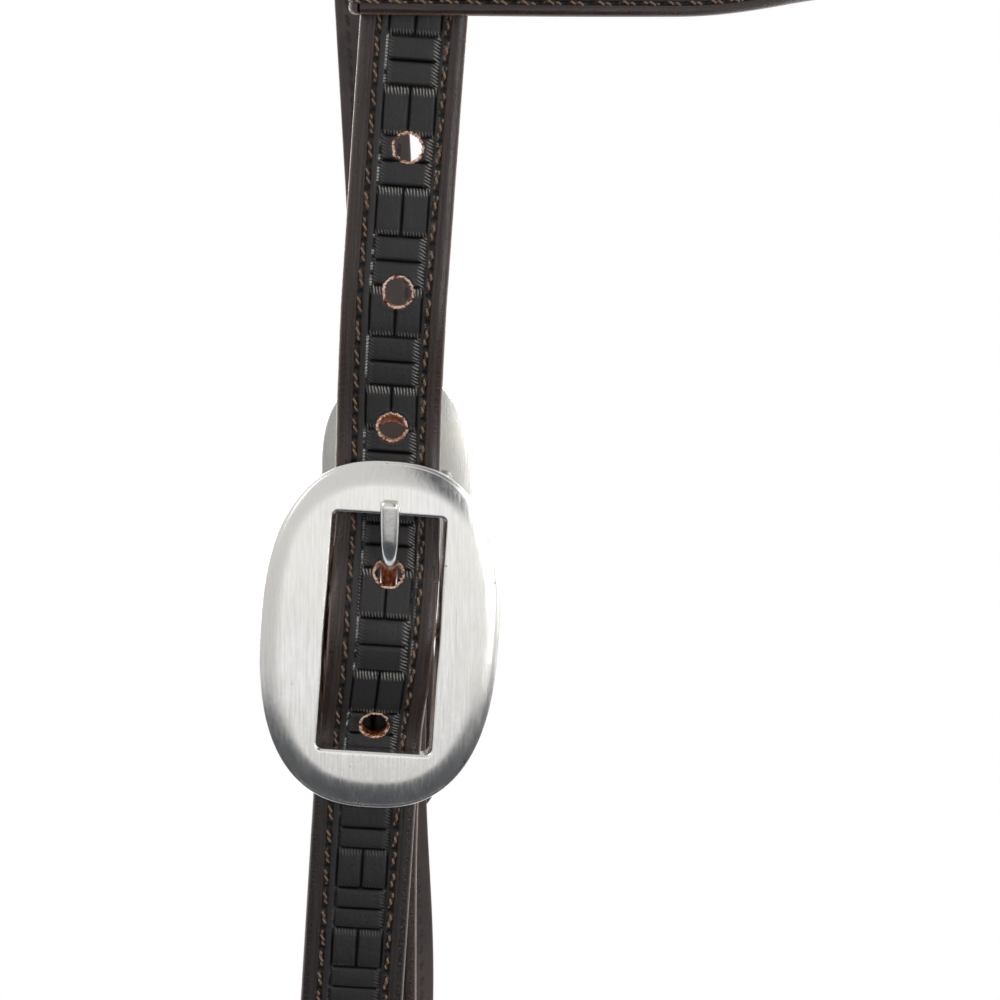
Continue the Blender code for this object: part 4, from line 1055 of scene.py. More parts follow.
def cheek_lining_path(side):
    """The cheek's lining, between the strip's front and its turned-back ends."""
    end = THROAT_U - BIT_LINING_CLEARANCE
    places = np.arange(CHEEK_LINING_START, end, STRIP_SPACING)
    return side_strip_path(side, [(u, CHEEK_LINING_N) for u in places])


def browband_front():
    """Dense points (x, y, distance) along the middle of the browband's outer layer."""
    reach_y = STRAP_HALF_SPAN + BROWBAND_FRONT_OFFSET
    angles = np.linspace(-math.pi / 2, math.pi / 2, 1600)
    x = HALF_WIDTH + BROWBAND_START - STRAP_X * np.sin(angles) + BROWBAND_REACH * np.cos(angles)
    y = reach_y * np.sin(angles)
    x = np.concatenate([[STRAP_X - BROWBAND_TURN, STRAP_X], x, [-STRAP_X, -STRAP_X - BROWBAND_TURN]])
    y = np.concatenate([[-reach_y, -reach_y], y, [reach_y, reach_y]])
    distance = np.concatenate([[0.0], np.cumsum(np.hypot(np.diff(x), np.diff(y)))]) - BROWBAND_TURN
    return x, y, distance


FRONT_X, FRONT_Y, FRONT_DISTANCE = browband_front()
BROWBAND_SPAN = float(FRONT_DISTANCE[-1] + FRONT_DISTANCE[0])


def browband_plan(distance, inset):
    """Plan point at a distance along the browband's front, moved in towards the head."""
    places = [distance, distance + BROWBAND_STEP, distance - BROWBAND_STEP]
    x, ahead_x, behind_x = np.interp(places, FRONT_DISTANCE, FRONT_X).tolist()
    y, ahead_y, behind_y = np.interp(places, FRONT_DISTANCE, FRONT_Y).tolist()
    size = math.hypot(ahead_x - behind_x, ahead_y - behind_y)
    return x - (ahead_y - behind_y) / size * inset, y + (ahead_x - behind_x) / size * inset


def browband_edges(distance):
    """Lowest and highest edge of the browband at a distance from the near strap."""
    place = min(distance, BROWBAND_SPAN - distance)
    start, end, first, last = BROWBAND_FLARE_START, BROWBAND_NECK, BROWBAND_LOOP_EDGES, BROWBAND_NECK_EDGES
    if place >= BROWBAND_NECK:
        start, end, first, last = BROWBAND_NECK, BROWBAND_SPAN / 2, BROWBAND_NECK_EDGES, BROWBAND_FRONT_EDGES
    share = float(smooth_step((place - start) / (end - start)))
    return tuple(begin + (finish - begin) * share for begin, finish in zip(first, last))


def loop_stations():
    """Distance and inset of each row of a loop, from its tab's end to its front layer."""
    inside = 2 * BROWBAND_FRONT_OFFSET
    tab_start = HALF_WIDTH + BROWBAND_LINING_GAP
    tab = np.arange(BROWBAND_TAB_LENGTH, tab_start + BROWBAND_TAB_STEP, -TAB_SPACING)
    rows = [(float(distance), BROWBAND_TAB_INSET) for distance in tab]
    for share in np.arange(20) / 20:
        inset = BROWBAND_TAB_INSET + (inside - BROWBAND_TAB_INSET) * float(smooth_step(share))
        rows.append((tab_start + BROWBAND_TAB_STEP * (1 - share), inset))
    rows += [(float(distance), inside) for distance in np.arange(tab_start, -BROWBAND_TURN, -LOOP_SPACING)]
    corner = BROWBAND_CORNER
    centre = BROWBAND_TURN + OUTER_THICK / 2 - corner
    for centre_inset, start in ((inside - corner, 0), (corner, 90)):
        for angle in np.radians(np.linspace(start, start + 90, 15)):
            rows.append((-centre - corner * math.sin(angle), centre_inset + corner * math.cos(angle)))
    return rows


def upright_path(plan):
    """A browband layer's path from plan places (x, y, low, high) at the browband's height."""
    points, wides, halves = [], [], []
    for x, y, low, high in plan:
        lean = -LEAN_SLOPE * y / STRAP_HALF_SPAN
        middle = (low + high) / 2 + BROWBAND_FAR_RISE * (y / STRAP_HALF_SPAN + 1) / 2
        points.append((x + lean * middle, y, middle - BROWBAND_DROP))
        wides.append(Vector((lean, 0.0, 1.0)).normalized())
        halves.append((high - low) / 2)
    normals = np.cross(np.gradient(np.array(points), axis=0), np.array([tuple(w) for w in wides]))
    normals /= np.linalg.norm(normals, axis=1, keepdims=True)
    path = Path(points, wides, normals, halves)
    path.closer = BROWBAND_CLOSER
    return path


def browband_path():
    """The browband's outer layer from the near tab's end, round both loops, to the far tab's end."""
    near_loop = []
    for distance, inset in loop_stations():
        inner = max(distance, -HALF_WIDTH)
        x, y = browband_plan(inner, inset)
        near_loop.append((x + distance - inner, y, *browband_edges(0.0)))
    far_loop = [(x - 2 * STRAP_X, -y, low, high) for x, y, low, high in near_loop]
    front = []
    for distance in np.arange(-HALF_WIDTH, BROWBAND_SPAN + HALF_WIDTH, FRONT_SPACING):
        edges = browband_edges(float(np.clip(distance, 0.0, BROWBAND_SPAN)))
        front.append((*browband_plan(distance, 0.0), *edges))
    path = upright_path(near_loop + front + far_loop[::-1])
    path.run -= path.run[len(near_loop)]
    round_corners(path, BROWBAND_CORNER_CUT)
    return path


def browband_lining_path():
    """The browband's lining, behind its front between the straps."""
    start = HALF_WIDTH + BROWBAND_LINING_GAP
    places = np.arange(start, BROWBAND_SPAN - start, FRONT_SPACING)
    return upright_path([(*browband_plan(d, BROWBAND_LINING_INSET), *browband_edges(d)) for d in places])


def ring_faces(grid):
    """Quads between following closed rings of numbered points, laid out as (ring, side)."""
    around = np.roll(grid, -1, axis=-1)
    quads = [grid[..., :-1, :], around[..., :-1, :], around[..., 1:, :], grid[..., 1:, :]]
    return np.stack(quads, axis=-1).reshape(-1, 4)


def tube_mesh(name, grid, tint):
    """Capped tubes from rings of points laid out as (line, step, side), with a tint for each line."""
    lines, steps, sides = grid.shape[:3]
    number = np.arange(lines * steps * sides).reshape(lines, steps, sides)
    faces = [tuple(quad) for quad in ring_faces(number)]
    faces += [tuple(ring[::-1]) for ring in number[:, 0]] + [tuple(ring) for ring in number[:, -1]]
    return mesh_from(name, grid.reshape(-1, 3), faces, [("tint", np.repeat(tint, steps * sides))])


def sew(path, lift, sign, first, last):
    """Points of a row of twisted two-ply stitches: sign picks the strap's edge, lift its height."""
    first, last = (path.even(run) / STITCH_PITCH for run in (first, last))
    starts = np.arange(math.ceil(first), math.floor(last) - 1) * STITCH_PITCH
    count = len(starts)
    t = np.linspace(0.0, 1.0, 13)
    jitter = SEED.uniform(-STITCH_JITTER, STITCH_JITTER, (count, 2))
    run = path.uneven(starts[:, None] + jitter[:, :1] + t * STITCH_LENGTH)
    face = 1.0 if lift > 0 else -1.0
    half = np.interp(run, path.run, path.half)
    slant = STITCH_SLANT * face * sign * (2 * t - 1.0)
    w = sign * (half - STITCH_INSET / path.closer) + slant + jitter[:, 1:]
    rise = np.sqrt(np.maximum(1.0 - np.abs(2 * t - 1.0) ** STITCH_ROUND, 0.0))
    height = lift + face * (STITCH_RISE * rise - STITCH_SINK) + np.zeros_like(run)
    twist = 2 * math.pi * PLY_TURNS * t + SEED.uniform(0.0, 6.28, (count, 1))
    middle = path.at(run, 0.0, 0.0)
    wide = (path.at(run, 1.0, 0.0) - middle)[..., None, :]
    up = (path.at(run, 0.0, 1.0) - middle)[..., None, :]
    angle = np.linspace(0.0, 2 * math.pi, 6, endpoint=False)[:, None]
    radius, flatness = PLY_RADII
    ring = radius * (np.cos(angle) * wide + flatness * np.sin(angle) * up)
    spread_w, spread_n = PLY_SPREADS
    plies = []
    for turn in (twist, twist + math.pi):
        centre = path.at(run, w + spread_w * np.cos(turn), height + spread_n * np.sin(turn))
        plies.append(centre[..., None, :] + ring)
    return np.concatenate(plies, axis=0)


def shade_of(lines):
    """Shade of each ply: the first half of a row's lines is the lighter ply."""
    light = SEED.uniform(0.0, 0.35, lines // 2)
    dark = SEED.uniform(0.6, 1.0, lines - lines // 2)
    return np.concatenate([light, dark])


def stitches(name, rows, body, material):
    """One object from several sewn rows."""
    tint = np.concatenate([shade_of(len(row)) for row in rows])
    return place_piece(name, tube_mesh(name, np.concatenate(rows), tint), [material], body)


def place_piece(name, mesh, materials, body, nodes=()):
    """Link a piece, let it ride on its body, and let it stand for its CAD nodes."""
    item = bpy.data.objects.new(name, mesh)
    bpy.context.scene.collection.objects.link(item)
    for material in materials:
        item.data.materials.append(material)
    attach(item, body)
    if nodes:
        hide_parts(*nodes)
    return item


def window_outline(count):
    """Points (w, u) round the buckle's window, with rounded corners, evenly spaced."""
    dense = []
    for start, sign_w, sign_u in ((0, 1, 1), (90, -1, 1), (180, -1, -1), (270, 1, -1)):
        angle = np.radians(np.linspace(start, start + 90, 17))
        corner_w = sign_w * (WINDOW_HALF_WIDTH - WINDOW_CORNER) + WINDOW_CORNER * np.cos(angle)
        corner_u = sign_u * (WINDOW_HALF_HEIGHT - WINDOW_CORNER) + WINDOW_CORNER * np.sin(angle)
        dense.extend(zip(corner_w, corner_u))
    dense = np.array(dense + [dense[0]])
    length = np.concatenate([[0.0], np.cumsum(np.hypot(*np.diff(dense, axis=0).T))])
    stops = np.linspace(0.0, length[-1], count, endpoint=False)
    return np.stack([np.interp(stops, length, dense[:, 0]), np.interp(stops, length, dense[:, 1])], axis=1)


def plate_profile():
    """The plate's section from the window's back edge round to the outer one, ring by ring.

    Each row says how far the ring is from the window, how far from the edge, its share of the way
    between them, and its height, which is None on the worn face.
    """
    rows = [(WINDOW_BREAK, 0.0, 0.0, PLATE_STANDOFF), (0.0, 0.0, 0.0, PLATE_STANDOFF + WINDOW_BREAK)]
    for n in np.linspace(PLATE_STANDOFF + WALL_ENDS[0], PLATE_TOP - WALL_ENDS[1], 6):
        rows.append((0.0, 0.0, 0.0, n))
    rows += [(inset, 0.0, 0.0, PLATE_TOP - sink) for inset, sink in WINDOW_RIM]
    face = np.linspace(0.05, 1.0, 26)[:-1]
    rows += [(WINDOW_RIM[-1][0], FRAME_EDGE, share, None) for share in face]
    rim = PLATE_TOP - FRAME_FALL - FRAME_EDGE
    for angle in np.radians(np.linspace(90, -20, 12)):
        rows.append((0.0, FRAME_EDGE * (1 - math.cos(angle)), 1.0, rim + FRAME_EDGE * math.sin(angle)))
    return rows + [(0.0, inset, 1.0, PLATE_STANDOFF + rise) for inset, rise in PLATE_BACK_EDGE]


def frame_mesh():
    """The buckle's plate: square window, bright chamfered rim, softly domed oval face, round edge."""
    window = window_outline(PLATE_SIDES)
    inward = WINDOW_DRAFTS[0] * window[:, 0] / WINDOW_HALF_WIDTH + WINDOW_DRAFTS[1]
    rise = (1.0 - window[:, 1] / WINDOW_HALF_HEIGHT) / 2
    leftward = np.clip(-window[:, 0] / WINDOW_HALF_WIDTH, 0.0, 1.0)
    window[:, 0] += WINDOW_SHIFT + WINDOW_TAPER * rise * leftward
    size = np.abs(window / (FRAME_HALF_WIDTH, FRAME_HALF_HEIGHT)) ** FRAME_EXPONENT
    outer = window * size.sum(axis=1)[:, None] ** (-1 / FRAME_EXPONENT) + (0.0, FRAME_DROP)
    length = np.hypot(*(outer - window).T)
    away = (outer - window) / length[:, None]
    rings = []
    for from_window, from_edge, share, n in plate_profile():
        along = from_window + (length - from_window - from_edge) * share
        flat = window + away * along[:, None]
        if n is None:
            fall = np.clip(1.0 - (length - along) / FRAME_FALL_WIDTH, 0.0, 1.0)
            n = PLATE_TOP - FRAME_FALL * fall ** FRAME_FALL_POWER
        if from_edge == share == 0.0:
            flat[:, 0] -= inward * np.clip((PLATE_TOP - n) / (PLATE_TOP - PLATE_STANDOFF), 0.0, 1.0)
        rings.append(np.stack([flat[:, 0], np.full(PLATE_SIDES, -n), -flat[:, 1]], axis=1))
    number = np.arange(len(rings) * PLATE_SIDES).reshape(len(rings), PLATE_SIDES)
    mesh = mesh_from("buckle_plate", np.concatenate(rings), ring_faces(np.vstack([number, number[:1]])))
    # The plate's back face takes the second look: rougher steel, darkened as painted shade
    kinds = np.zeros_like(number, dtype=np.int32)
    kinds[-1] = 1
    mesh.polygons.foreach_set("material_index", kinds.ravel())
    return keep_creases(worked_mesh(mesh, turn_outwards, add_bar), 40)


def worked_mesh(mesh, *steps):
    """A mesh after some steps of work on it."""
    bm = bmesh.new()
    bm.from_mesh(mesh)
    for step in steps:
        step(bm)
    bm.to_mesh(mesh)
    bm.free()
    return mesh


def turn_outwards(bm):
    """Turn all faces to look outwards."""
    bmesh.ops.recalc_face_normals(bm, faces=bm.faces)


def fillet(corner, start, end, radius, steps):
    """Points of the arc that rounds a corner between two straight runs."""
    back = (Vector(start) - Vector(corner)).normalized()
    ahead = (Vector(end) - Vector(corner)).normalized()
    half = back.angle(ahead) / 2
    centre = Vector(corner) + (back + ahead).normalized() * radius / math.sin(half)
    first, last = (Vector(corner) + way * radius / math.tan(half) - centre for way in (back, ahead))
    return [centre + first.slerp(last, step / steps) * radius for step in range(steps + 1)]


def skin(bm, rings):
    """A closed solid through following rings of points."""
    rings = [[bm.verts.new(point) for point in ring] for ring in rings]
    faces = []
    for first, second in zip(rings, rings[1:]):
        for i in range(len(first)):
            j = (i + 1) % len(first)
            faces.append(bm.faces.new((first[i], first[j], second[j], second[i])))
    faces.append(bm.faces.new(rings[0][::-1]))
    faces.append(bm.faces.new(rings[-1]))
    bmesh.ops.recalc_face_normals(bm, faces=faces)


def add_bar(bm):
    """The centre bar: a round rod with a bent post at each end, brazed behind the plate."""
    post_w, post_n = WINDOW_HALF_WIDTH + POST_INSET, PLATE_STANDOFF + POST_SINK
    ends = [Vector((w, 0.0, 0.0)) for w in (-post_w, post_w)]
    feet = [Vector((w, -post_n, 0.0)) for w in (-post_w, post_w)]
    backs = [Vector((w, -PLATE_STANDOFF, 0.0)) for w in (-post_w, post_w)]
    run = [feet[0], backs[0]] + fillet(ends[0], feet[0], ends[1], POST_BEND, 14)
    run += fillet(ends[1], ends[0], feet[1], POST_BEND, 14) + [backs[1], feet[1]]
    spread = [*POST_SPREADS] + [1.0] * (len(run) - 4) + [*POST_SPREADS[::-1]]
    rings = []
    for index, (point, wider) in enumerate(zip(run, spread)):
        ahead = run[min(index + 1, len(run) - 1)] - run[max(index - 1, 0)]
        side = Vector((0.0, 0.0, 1.0))
        up = ahead.cross(side).normalized()
        angles = [2 * math.pi * step / 36 for step in range(36)]
        rings.append([point + (side * math.cos(a) + up * math.sin(a)) * BAR_RADIUS * wider for a in angles])
    skin(bm, rings)


def tongue_line():
    """The tongue's middle line (u, n): an eye round the bar, a shank through the hole, a bent tip."""
    hole_u = USED_HOLE_DROP
    hole_n = billet_line(hole_u)[0]
    angle = math.atan2(hole_n, -hole_u) + math.asin(RING_RADIUS / math.hypot(hole_u, hole_n))
    shank = Vector((-math.cos(angle), math.sin(angle)))
    leave = Vector((-math.sin(angle), -math.cos(angle))) * RING_RADIUS
    start = math.atan2(leave.y, leave.x) + TONGUE_WRAP_ANGLE
    eye = []
    for step in range(EYE_STEPS + 1):
        place = start - TONGUE_WRAP_ANGLE * step / EYE_STEPS
        eye.append(Vector((math.cos(place), math.sin(place))) * RING_RADIUS)
    seat = Vector((-WINDOW_HALF_HEIGHT, PLATE_TOP + TONGUE_REST_GAP + TONGUE_THICK / 2))
    along = Vector((-math.cos(TONGUE_TIP_ANGLE), math.sin(TONGUE_TIP_ANGLE)))
    cross = shank.x * along.y - shank.y * along.x
    gap = seat - leave
    corner = leave + shank * ((gap.x * along.y - gap.y * along.x) / cross)
    tip = seat + along * TONGUE_OVERLAP
    bend = fillet(*((*point, 0.0) for point in (corner, leave, tip)), TONGUE_BEND_RADIUS, 28)
    bend = [point.to_2d() for point in bend]
    return eye + bend + [bend[-1].lerp(tip, share) for share in np.linspace(0.0, 1.0, 16)[1:]]


def tongue_ring(point, up, left):
    """One section of the tongue, this length short of its tip: flatter, wider and rounded off there."""
    wide = TONGUE_WIDTH / 2 * (TIP_WIDTHS[0] + TIP_WIDTHS[1] * (1.0 - float(ease(*TIP_WIDEN, left))))
    square = 2.0 + TIP_SQUARE * (1.0 - float(ease(*TIP_FLATTEN, left)))
    round_off = 1.0 - min(left / TIP_ROUND, 1.0)
    scale = TIP_LEAST + (1.0 - TIP_LEAST) * math.sqrt(max(1.0 - round_off ** 2, 0.0))
    ring = []
    for step in range(40):
        cos_a, sin_a = math.cos(2 * math.pi * step / 40), math.sin(2 * math.pi * step / 40)
        across = math.copysign(abs(cos_a) ** (2 / square), cos_a) * wide * scale
        rise = math.copysign(abs(sin_a) ** (2 / square), sin_a) * TONGUE_THICK / 2 * scale
        place = point + up * rise
        ring.append(side_point(across, place.x, place.y))
    return ring


def tongue_mesh():
    """The forged tongue: round where it turns on the bar, flattened and widened at its tip."""
    line = tongue_line()
    lengths = np.cumsum([0.0] + [(second - first).length for first, second in zip(line, line[1:])])
    rings = []
    for index, point in enumerate(line):
        ahead = line[min(index + 1, len(line) - 1)] - line[max(index - 1, 0)]
        ahead.normalize()
        up = Vector((ahead.y, -ahead.x))
        if index > EYE_STEPS and up.y < 0:
            up = -up
        rings.append(tongue_ring(point, up, float(lengths[-1] - lengths[index])))
    return keep_creases(worked_mesh(bpy.data.meshes.new("tongue"), lambda bm: skin(bm, rings)), 40)


class Shade:
    """A material's node tree with short ways to add and join nodes."""

    def __init__(self, name):
        self.material = bpy.data.materials.new(name)
        self.material.use_nodes = True
        self.tree = self.material.node_tree
        self.shader = self.tree.nodes["Principled BSDF"]

    def node(self, kind, **settings):
        item = self.tree.nodes.new(kind)
        for key, value in settings.items():
            setattr(item, key, value)
        return item

    def link(self, start, end):
        self.tree.links.new(start, end)

    def value(self, socket, item):
        """Join a socket to another one, or set it to a number or colour."""
        if isinstance(item, bpy.types.NodeSocket):
            self.link(item, socket)
        else:
            socket.default_value = item

    def mapped(self, scale, kind="UV"):
        """Coordinates scaled by three numbers."""
        coords = self.node("ShaderNodeTexCoord")
        mapping = self.node("ShaderNodeMapping")
        self.link(coords.outputs[kind], mapping.inputs["Vector"])
        mapping.inputs["Scale"].default_value = scale
        return mapping.outputs["Vector"]

    def noise(self, name):
        """A noise of the table."""
        scale, detail, rough, kind = NOISES[name]
        item = self.node("ShaderNodeTexNoise")
        self.link(self.mapped(scale, kind), item.inputs["Vector"])
        item.inputs["Scale"].default_value = 1.0
        item.inputs["Detail"].default_value = detail
        item.inputs["Roughness"].default_value = rough
        return item.outputs["Fac"]

    def cells(self, scale):
        item = self.node("ShaderNodeTexVoronoi", feature="SMOOTH_F1")
        self.link(self.mapped(scale), item.inputs["Vector"])
        item.inputs["Scale"].default_value = 1.0
        return item.outputs["Distance"]

    def attribute(self, name):
        return self.node("ShaderNodeAttribute", attribute_name=name).outputs["Fac"]

    def curve(self, value, low, high, out_low=0.0, out_high=1.0):
        """A number moved from one range to another, with smooth ends."""
        item = self.node("ShaderNodeMapRange", interpolation_type="SMOOTHSTEP")
        self.value(item.inputs["Value"], value)
        labels = ("From Min", "From Max", "To Min", "To Max")
        for label, number in zip(labels, (low, high, out_low, out_high)):
            item.inputs[label].default_value = number
        return item.outputs["Result"]

    def math(self, operation, first, second=0.0):
        item = self.node("ShaderNodeMath", operation=operation)
        self.value(item.inputs[0], first)
        self.value(item.inputs[1], second)
        return item.outputs[0]

    def times(self, first, second):
        return self.math("MULTIPLY", first, second)

    def plus(self, first, second):
        return self.math("ADD", first, second)

    def less(self, first, second):
        return self.math("SUBTRACT", first, second)

    def most(self, first, second):
        return self.math("MAXIMUM", first, second)

    def near(self, value, place, far, full):
        """Share from 0 to 1 of how near a number is to a place."""
        return self.curve(self.math("ABSOLUTE", self.less(value, place)), far, full)

    def mix(self, share, first, second):
        item = self.node("ShaderNodeMix", data_type="RGBA")
        self.value(item.inputs["Factor"], share)
        colours = [i for i in item.inputs if i.type == "RGBA"]
        self.value(colours[0], first)
        self.value(colours[1], second)
        return [o for o in item.outputs if o.type == "RGBA"][0]

    def over(self, base, colour, mask, strength=None):
        """A colour laid over another where a mask says, at a strength."""
        return self.mix(mask if strength is None else self.times(mask, strength), base, colour)

    def bump(self, height, distance, strength, normal=None):
        item = self.node("ShaderNodeBump")
        self.value(item.inputs["Height"], height)
        item.inputs["Distance"].default_value = distance
        item.inputs["Strength"].default_value = strength
        if normal is not None:
            self.link(normal, item.inputs["Normal"])
        return item.outputs["Normal"]

    def finish(self, **inputs):
        for label, item in inputs.items():
            self.value(self.shader.inputs[label.replace("_", " ").title().replace("Ior", "IOR")], item)
        return self.material


def tone(name):
    """A colour of the table, made linear."""
    levels = []
    for level in TONES[name]:
        share = level / 255
        levels.append(share / 12.92 if share <= 0.04045 else ((share + 0.055) / 1.055) ** 2.4)
    return (*levels, 1.0)


def linear(red, green, blue):
    """A linear colour."""
    return (red, green, blue, 1.0)


def tick_lines(shade, along, across, pitch, slant):
    """Thin parallel stamp lines from UV places, as a number from 0 to 1."""
    wander = shade.noise("tick_wander")
    place = shade.plus(across, shade.times(along, slant))
    turn = shade.times(place, 2 * math.pi / pitch)
    wave = shade.math("SINE", shade.plus(turn, shade.times(wander, 5.0)))
    return shade.curve(wave, 0.15, 0.75)


def border_colour(shade, inset, cloud):
    """Colour of the border: clouded, streaked along the strap, with open pores, darker inwards."""
    streak = shade.noise("streak")
    pores = shade.curve(shade.noise("pores"), 0.58, 0.70)
    base = shade.over(tone("margin"), tone("margin_cloud"), shade.curve(cloud, 0.35, 0.7))
    base = shade.over(base, tone("streak"), shade.curve(streak, 0.4, 0.7), 0.5)
    base = shade.over(base, tone("pore"), pores, 0.6)
    return shade.over(base, tone("inner"), shade.curve(inset, 0.0030, 0.0042, 0.0, 0.85))


def dyed_colour(shade, relief, deep, cloud, fine, ticks):
    """Colour of the stamped panel: worn crests, painted highlights on the serrations and dark ground."""
    dyed = shade.over(tone("tooled"), tone("tooled_cloud"), shade.curve(cloud, 0.3, 0.75))
    worn = shade.times(shade.curve(relief, 0.7, 1.0), shade.curve(fine, 0.48, 0.70))
    dyed = shade.over(dyed, tone("ridge"), worn, 0.30)
    # Painted highlight on the serrations
    dyed = shade.over(dyed, tone("tick"), shade.times(ticks, shade.curve(fine, 0.32, 0.6)), 0.85)
    return shade.over(dyed, tone("deep"), deep, 0.9)


def rule_glint_mask(shade, along, across, fine):
    """Where the painted highlights of the toothed rules beside the panel show."""
    teeth = shade.plus(shade.times(tick_lines(shade, across, along, 0.00055, 0.0), 0.65), 0.3)
    teeth = shade.times(teeth, shade.curve(fine, 0.3, 0.6))
    teeth = shade.times(teeth, shade.curve(shade.noise("teeth_gaps"), 0.42, 0.56))
    left, right = TOOL_MIDDLE - TOOL_HALF_WIDTH, TOOL_MIDDLE + TOOL_HALF_WIDTH + RULE_GAP
    rules = shade.most(*(shade.near(across, place, 0.00026, 0.00010) for place in (left, right)))
    return shade.times(shade.times(shade.attribute("rule_glint"), rules), teeth)


def leather_material():
    """Oiled strap leather: grained border, darker dyed tooling with worn crests, burnished edges; painted
    highlights on the serrations and rules, painted shade in the crease, sewing groove and awl holes and over
    the near tail.
    """
    shade = Shade("tooled_leather_look")
    inset, relief = shade.attribute("inset"), shade.attribute("relief")
    split = shade.node("ShaderNodeSeparateXYZ")
    shade.link(shade.mapped((1, 1, 1)), split.inputs[0])
    along, across = split.outputs[0], split.outputs[1]
    cloud = shade.noise("cloud")
    grain = shade.cells(GRAIN_SCALE)
    fine = shade.noise("fine")
    ticks = shade.times(shade.attribute("tick_w"), tick_lines(shade, along, across, 0.00055, 0.2))
    cross = shade.times(shade.attribute("tick_s"), tick_lines(shade, across, along, 0.00060, 0.5))
    ticks = shade.most(ticks, cross)
    deep = shade.curve(relief, 0.45, 0.12)
    side = shade.curve(inset, 0.0005, 0.00008)
    crease = shade.near(inset, 0.00225, 0.0004, 0.0001)
    seam = shade.near(inset, STITCH_INSET, 0.0009, 0.0003)
    lines = shade.most(shade.times(crease, 0.15), shade.times(seam, 0.42))
    base = border_colour(shade, inset, cloud)
    base = shade.over(base, dyed_colour(shade, relief, deep, cloud, fine, ticks), shade.attribute("tool"))
    # Painted highlight on the rules beside the panel
    base = shade.over(base, tone("rule_glint"), rule_glint_mask(shade, along, across, fine))
    base = shade.over(base, tone("edge"), side, 0.8)
    # Painted shade in the crease and the sewing groove
    base = shade.over(base, tone("crease"), lines)
    # Painted shade in the awl holes between stitches
    base = shade.over(base, tone("pit_shade"), shade.curve(shade.attribute("pits"), 0.15, 0.6))
    # Painted shade darkens the near tail
    base = shade.over(base, tone("tail"), shade.attribute("tail"), 0.55)
    height = shade.plus(shade.times(grain, 0.6), shade.times(fine, 0.5))
    height = shade.plus(height, shade.times(ticks, -0.9))
    rough = shade.plus(shade.curve(cloud, 0.3, 0.75, 0.36, 0.50), shade.times(fine, 0.14))
    rough = shade.less(rough, shade.curve(inset, 0.0017, 0.0012, 0.0, 0.26))
    rough = shade.less(rough, shade.times(side, 0.08))
    glint = shade.plus(0.42, shade.times(side, 0.5))
    shine = shade.less(glint, shade.times(shade.most(deep, lines), 0.34))
    normal = shade.bump(height, 0.00014, 0.6)
    return shade.finish(base_color=base, roughness=rough, normal=normal, specular_ior_level=shine)


def lining_material():
    """Smooth pressed lining leather with a faint grain and rubbed patches."""
    shade = Shade("lining_leather_look")
    cloud = shade.noise("lining_cloud")
    grain = shade.cells(LINING_GRAIN_SCALE)
    fine = shade.noise("lining_fine")
    base = shade.over(tone("lining"), tone("lining_cloud"), shade.curve(cloud, 0.35, 0.7))
    side = shade.curve(shade.attribute("inset"), 0.00045, 0.00005)
    base = shade.over(base, tone("lining_edge"), side, 0.85)
    normal = shade.bump(shade.plus(shade.times(grain, 0.6), shade.times(fine, 0.6)), 0.00008, 0.5)
    rough = shade.plus(shade.curve(cloud, 0.3, 0.75, 0.42, 0.58), shade.times(fine, 0.1))
    return shade.finish(base_color=base, roughness=rough, normal=normal, specular_ior_level=0.5)


def raw_material(name, deep, pale, low, high):
    """Cut leather fibre in and round the punched holes, from dark russet to pale buff."""
    shade = Shade(name)
    fibre = shade.noise("fibre")
    clump = shade.noise("clump")
    base = shade.over(tone(deep), tone(pale), shade.curve(fibre, low, high))
    base = shade.over(base, tone("russet"), shade.curve(clump, 0.52, 0.62))
    base = shade.over(base, tone("buff"), shade.curve(clump, 0.42, 0.28))
    normal = shade.bump(fibre, 0.0003, 0.9)
    return shade.finish(base_color=base, roughness=0.8, normal=normal, specular_ior_level=0.25)


def thread_material(name, light, dark):
    """Waxed two-ply thread: one ply lighter than the other, with loose fibres."""
    shade = Shade(name)
    fibre = shade.noise("fluff")
    base = shade.over(tone(light), tone(dark), shade.curve(shade.attribute("tint"), 0.1, 0.9))
    base = shade.over(base, tone("fluff"), shade.curve(fibre, 0.45, 0.65), 0.55)
    normal = shade.bump(fibre, 0.00012, 0.8)
    return shade.finish(base_color=base, roughness=0.55, normal=normal, specular_ior_level=0.4)


def steel_material(name, colour, grain, low, high, bump):
    """Satin steel: faint drawn brush grain, cloudy handling haze, hairline scratches and tiny pits."""
    shade = Shade(name)
    brush = shade.noise(grain)
    cloud = shade.noise("haze")
    hairs = shade.curve(shade.noise("hairs"), 0.66, 0.73)
    pits = shade.curve(shade.noise("pits"), 0.765, 0.80)
    red, green, blue = colour
    dark, warm = linear(red * 0.93, green * 0.93, blue * 0.93), linear(red, green * 0.985, blue * 0.95)
    base = shade.over(linear(*colour), dark, shade.curve(brush, 0.3, 0.7))
    base = shade.over(base, warm, shade.curve(cloud, 0.35, 0.68))
    base = shade.over(base, linear(0.55, 0.55, 0.55), hairs, 0.35)
    base = shade.over(base, linear(0.16, 0.13, 0.12), pits, 0.8)
    rough = shade.plus(shade.curve(brush, 0.3, 0.7, low, high), shade.curve(cloud, 0.3, 0.7, 0.0, 0.05))
    rough = shade.plus(rough, shade.times(hairs, 0.06))
    normal = shade.bump(cloud, 0.00018, 0.32, shade.bump(brush, bump, 0.5))
    return shade.finish(base_color=base, metallic=1.0, roughness=rough, normal=normal)


